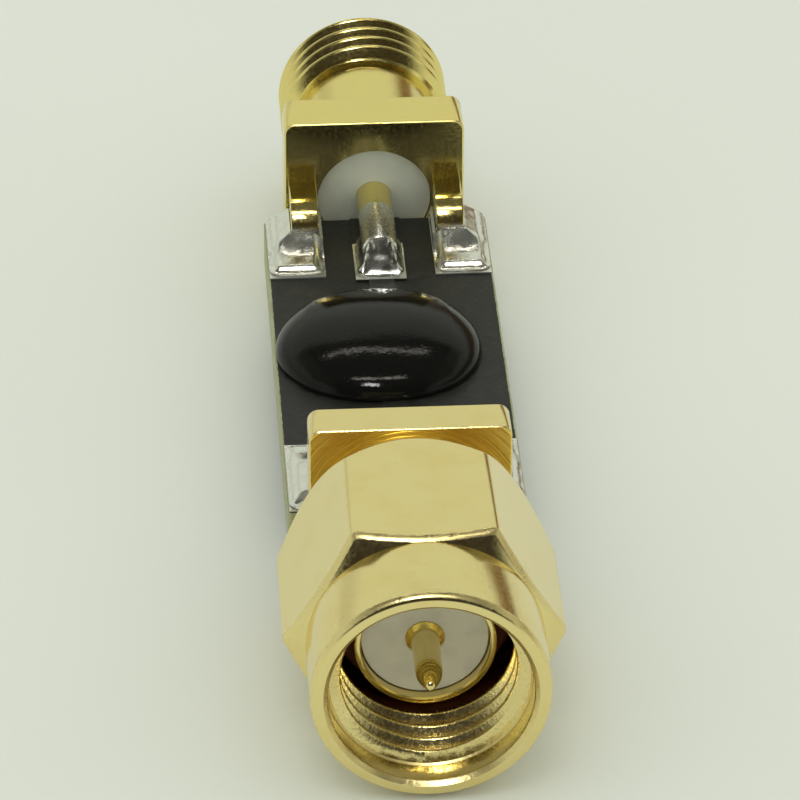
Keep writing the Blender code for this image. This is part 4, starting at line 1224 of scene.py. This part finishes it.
class COAX_OT_epoxy(Operator):
    """Glossy drop of epoxy, hollowed for the parts that it covers"""
    bl_idname = "coax.epoxy"
    bl_label = "Epoxy drop"

    def execute(self, context):
        size = context.scene.coax_epoxy
        low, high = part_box("epoxy_drop")
        deselect()
        bpy.ops.mesh.primitive_cube_add(size=2.0)
        drop = open_piece("glossy_drop")
        bpy.ops.mesh.subdivide(number_cuts=DROP_CUTS)
        bpy.ops.transform.tosphere(value=size.fullness)
        bpy.ops.mesh.bisect(plane_co=(0, 0, 0), plane_no=(0, 0, 1), clear_inner=True, use_fill=True)
        bpy.ops.mesh.select_all(action="SELECT")
        bpy.ops.object.mode_set(mode="OBJECT")
        half = drop.dimensions.x / 2
        drop.scale = ((high.x - low.x) / 2 / half, (high.y - low.y) / 2 / half, (high.z - low.z) / half)
        drop.location = ((low.x + high.x) / 2, (low.y + high.y) / 2, low.z)
        open_piece("glossy_drop")
        close_piece()
        waves = bpy.data.textures.new("epoxy_waves", "CLOUDS")
        waves.noise_scale = size.wave
        upper = drop.vertex_groups.new(name="free_surface")
        upper.add([v.index for v in drop.data.vertices if v.co.z > low.z + SMALL_EDGE], 1.0, "REPLACE")
        apply(drop, "DISPLACE", texture=waves, texture_coords="GLOBAL", strength=size.wave_height,
              mid_level=0.5, vertex_group="free_surface")
        apply(drop, "SUBSURF", levels=1, render_levels=1)
        drop.vertex_groups.clear()
        margin = Vector((GAP, GAP, GAP))
        for node in INNER_NODES:
            inner_low, inner_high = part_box(node)
            floor = Vector((inner_low.x, inner_low.y, low.z - SPARE))
            cut_block(drop, floor - margin, inner_high + margin)
        half_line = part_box("signal_line_middle")[1].x + GAP
        for node in ("signal_line_in", "signal_line_out"):
            line_low, line_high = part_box(node)
            cut_block(drop, (-half_line, line_low.y, low.z - SPARE),
                      (half_line, line_high.y, line_high.z + GAP))
        smooth(drop)
        dress(drop, "glossy_epoxy", "module", "epoxy", "epoxy_drop")
        return {"FINISHED"}


class COAX_OT_inner_parts(Operator):
    """Finish of the chip parts under the epoxy"""
    bl_idname = "coax.inner_parts"
    bl_label = "Parts under the epoxy"

    def execute(self, context):
        look = context.scene.coax_look
        bodies = {
            "capacitor_in": (look.ceramic, 1, CHIP_HALF),
            "capacitor_out": (look.ceramic, 1, CHIP_HALF),
            "diode_left": (look.moulding, 0, DIODE_HALF),
            "diode_right": (look.moulding, 0, DIODE_HALF),
            "choke": (look.ferrite, 0, CHIP_HALF),
        }
        for node, (base, axis, body_half) in bodies.items():
            low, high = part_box(node)
            finish_node(node, capped_chip("look_" + node, base, look.tin, (low + high) / 2, axis, body_half))
        return {"FINISHED"}


class COAX_OT_stage(Operator):
    """Pale floor, soft studio light and the camera"""
    bl_idname = "coax.stage"
    bl_label = "Stage"

    def execute(self, context):
        stage = context.scene.coax_stage
        self.floor(stage)
        self.surroundings(context.scene, stage)
        self.lamps(stage)
        turn_to = (Matrix.Rotation(-stage.yaw, 3, "Z") @ Matrix.Rotation(math.pi / 2 - stage.pitch, 3, "X")
                   @ Matrix.Rotation(stage.roll, 3, "Z"))
        deselect()
        bpy.ops.object.camera_add(location=stage.camera_place, rotation=turn_to.to_euler())
        camera = bpy.context.active_object
        camera.data.lens = stage.lens
        camera.data.clip_start = 10.0 * MM
        context.scene.camera = camera
        context.scene.view_settings.view_transform = "Standard"
        return {"FINISHED"}

    def floor(self, stage):
        deselect()
        bpy.ops.mesh.primitive_plane_add(size=stage.floor_size, location=(0.0, 0.0, CAD_BOX[0].z))
        floor = open_piece("pale_floor")
        bpy.ops.object.mode_set(mode="OBJECT")
        finish = Finish("look_pale_floor")
        cloud = finish.noise(40.0 * MM)
        floor.data.materials.append(finish.shade(
            Base_Color=finish.mix(finish.ramp(cloud, 0.3, 0.7), stage.floor, scaled(stage.floor, 0.97)),
            Roughness=0.7,
            Specular_IOR_Level=0.1))

    def surroundings(self, scene, stage):
        """Pale low down and behind the object, darker overhead and on the camera's side.

        Two bright strips run overhead, and a brown band lies above the floor. The camera itself sees only the
        pale background.
        """
        scene.world = bpy.data.worlds.new("studio")
        scene.world.use_nodes = True
        nodes = Nodes(scene.world.node_tree)
        x, y, z = nodes.axes(nodes.add("TexCoord").outputs["Generated"])
        aside, front = nodes.away(x), nodes.fade(y, -0.7, -0.3)
        low = nodes.fade(nodes.total(z, nodes.times(front, 0.22)), 0.12, 0.36)
        beside = nodes.times(nodes.ramp(aside, 0.62, 0.8), nodes.fade(z, 0.42, 0.55))
        behind = nodes.ramp(nodes.calc("SUBTRACT", y, nodes.times(z, 0.5)), 0.25, 0.33)
        bright = nodes.calc("MAXIMUM", nodes.calc("MAXIMUM", low, behind), beside)
        walls = nodes.times(nodes.ramp(aside, 0.5, 0.7), nodes.ramp(y, -0.6, -0.3))
        band = nodes.times(nodes.ramp(z, 0.02, 0.09), nodes.fade(z, 0.2, 0.34), nodes.ramp(y, -0.7, -0.3),
                           nodes.ramp(x, -0.3, 0.4, 0.25, 1.0))
        slope = nodes.calc("DIVIDE", y, nodes.calc("MAXIMUM", z, WELD))
        strips = nodes.total(*(nodes.fade(nodes.away(slope, place), 0.6 * half, half)
                               for place, half in STRIPS))
        seen = nodes.mix(nodes.ramp(z, 0.62, 0.85), stage.dusk, stage.ceiling)
        seen = nodes.mix(walls, seen, stage.wall)
        seen = nodes.mix(bright, seen, stage.pale)
        seen = nodes.mix(band, seen, stage.horizon)
        seen = nodes.mix(nodes.times(strips, nodes.fade(aside, 0.28, 0.34)), seen,
                         scaled(stage.strip, stage.strip_light))
        ray = nodes.add("LightPath").outputs
        reflected = nodes.calc("ADD", ray["Is Glossy Ray"], ray["Is Transmission Ray"])
        shown = nodes.mix(reflected, [stage.soft_light] * 3, seen)
        background = scene.world.node_tree.nodes["Background"]
        nodes.feed(background.inputs["Color"], nodes.mix(ray["Is Camera Ray"], shown, stage.pale))

    def lamps(self, stage):
        """A soft lamp overhead, and a compact one that only glossy surfaces show."""
        soft = self.lamp("soft_lamp", stage.lamp_power, direction=(-0.1, -0.4, 0.9), size=(0.2, 0.2))
        soft.visible_glossy = False
        glint = self.lamp("glint_lamp", stage.glint_power, direction=(-0.11, -0.55, 0.83), size=(0.12, 0.08))
        glint.visible_diffuse = False

    def lamp(self, name, watts, direction, size):
        """A rectangular lamp that shines at the middle of the object."""
        deselect()
        towards = Vector(direction).normalized()
        bpy.ops.object.light_add(type="AREA", location=towards * LAMP_DISTANCE,
                                 rotation=towards.to_track_quat("Z", "Y").to_euler())
        lamp = bpy.context.active_object
        lamp.name = lamp.data.name = name
        lamp.data.shape = "RECTANGLE"
        lamp.data.size, lamp.data.size_y = size
        lamp.data.energy = watts
        return lamp


class COAX_PT_module(Panel):
    """Sizes, colours and pieces of the module"""
    bl_idname = "COAX_PT_module"
    bl_label = "Inline coaxial module"
    bl_space_type = "VIEW_3D"
    bl_region_type = "UI"
    bl_category = "Coaxial"

    def draw(self, context):
        for operator in OPERATORS:
            self.layout.operator(operator.bl_idname)
        for name, group in SETTINGS.items():
            box = self.layout.box()
            box.label(text=name.replace("coax_", "").capitalize())
            for setting in group.__annotations__:
                box.prop(getattr(context.scene, name), setting)


SETTINGS = {
    "coax_nut": CoaxNut,
    "coax_plug": CoaxPlug,
    "coax_jack": CoaxJack,
    "coax_flange": CoaxFlange,
    "coax_solder": CoaxSolder,
    "coax_epoxy": CoaxEpoxy,
    "coax_look": CoaxLook,
    "coax_stage": CoaxStage,
}
OPERATORS = (
    COAX_OT_coupling_nut,
    COAX_OT_plug_shell,
    COAX_OT_jack_shell,
    COAX_OT_insulators,
    COAX_OT_conductors,
    COAX_OT_gasket,
    COAX_OT_board,
    COAX_OT_prong_joints,
    COAX_OT_pin_joints,
    COAX_OT_epoxy,
    COAX_OT_inner_parts,
    COAX_OT_stage,
)


def register():
    for group in (*SETTINGS.values(), *OPERATORS, COAX_PT_module):
        bpy.utils.register_class(group)
    for name, group in SETTINGS.items():
        setattr(bpy.types.Scene, name, PointerProperty(type=group))


def unregister():
    for name in SETTINGS:
        delattr(bpy.types.Scene, name)
    for group in reversed((*SETTINGS.values(), *OPERATORS, COAX_PT_module)):
        bpy.utils.unregister_class(group)


def main():
    register()
    bpy.ops.coax.coupling_nut()
    bpy.ops.coax.plug_shell()
    bpy.ops.coax.jack_shell()
    bpy.ops.coax.insulators()
    bpy.ops.coax.conductors()
    bpy.ops.coax.gasket()
    bpy.ops.coax.board()
    bpy.ops.coax.prong_joints()
    bpy.ops.coax.pin_joints()
    bpy.ops.coax.epoxy()
    bpy.ops.coax.inner_parts()
    bpy.ops.coax.stage()


if __name__ == "__main__":
    main()
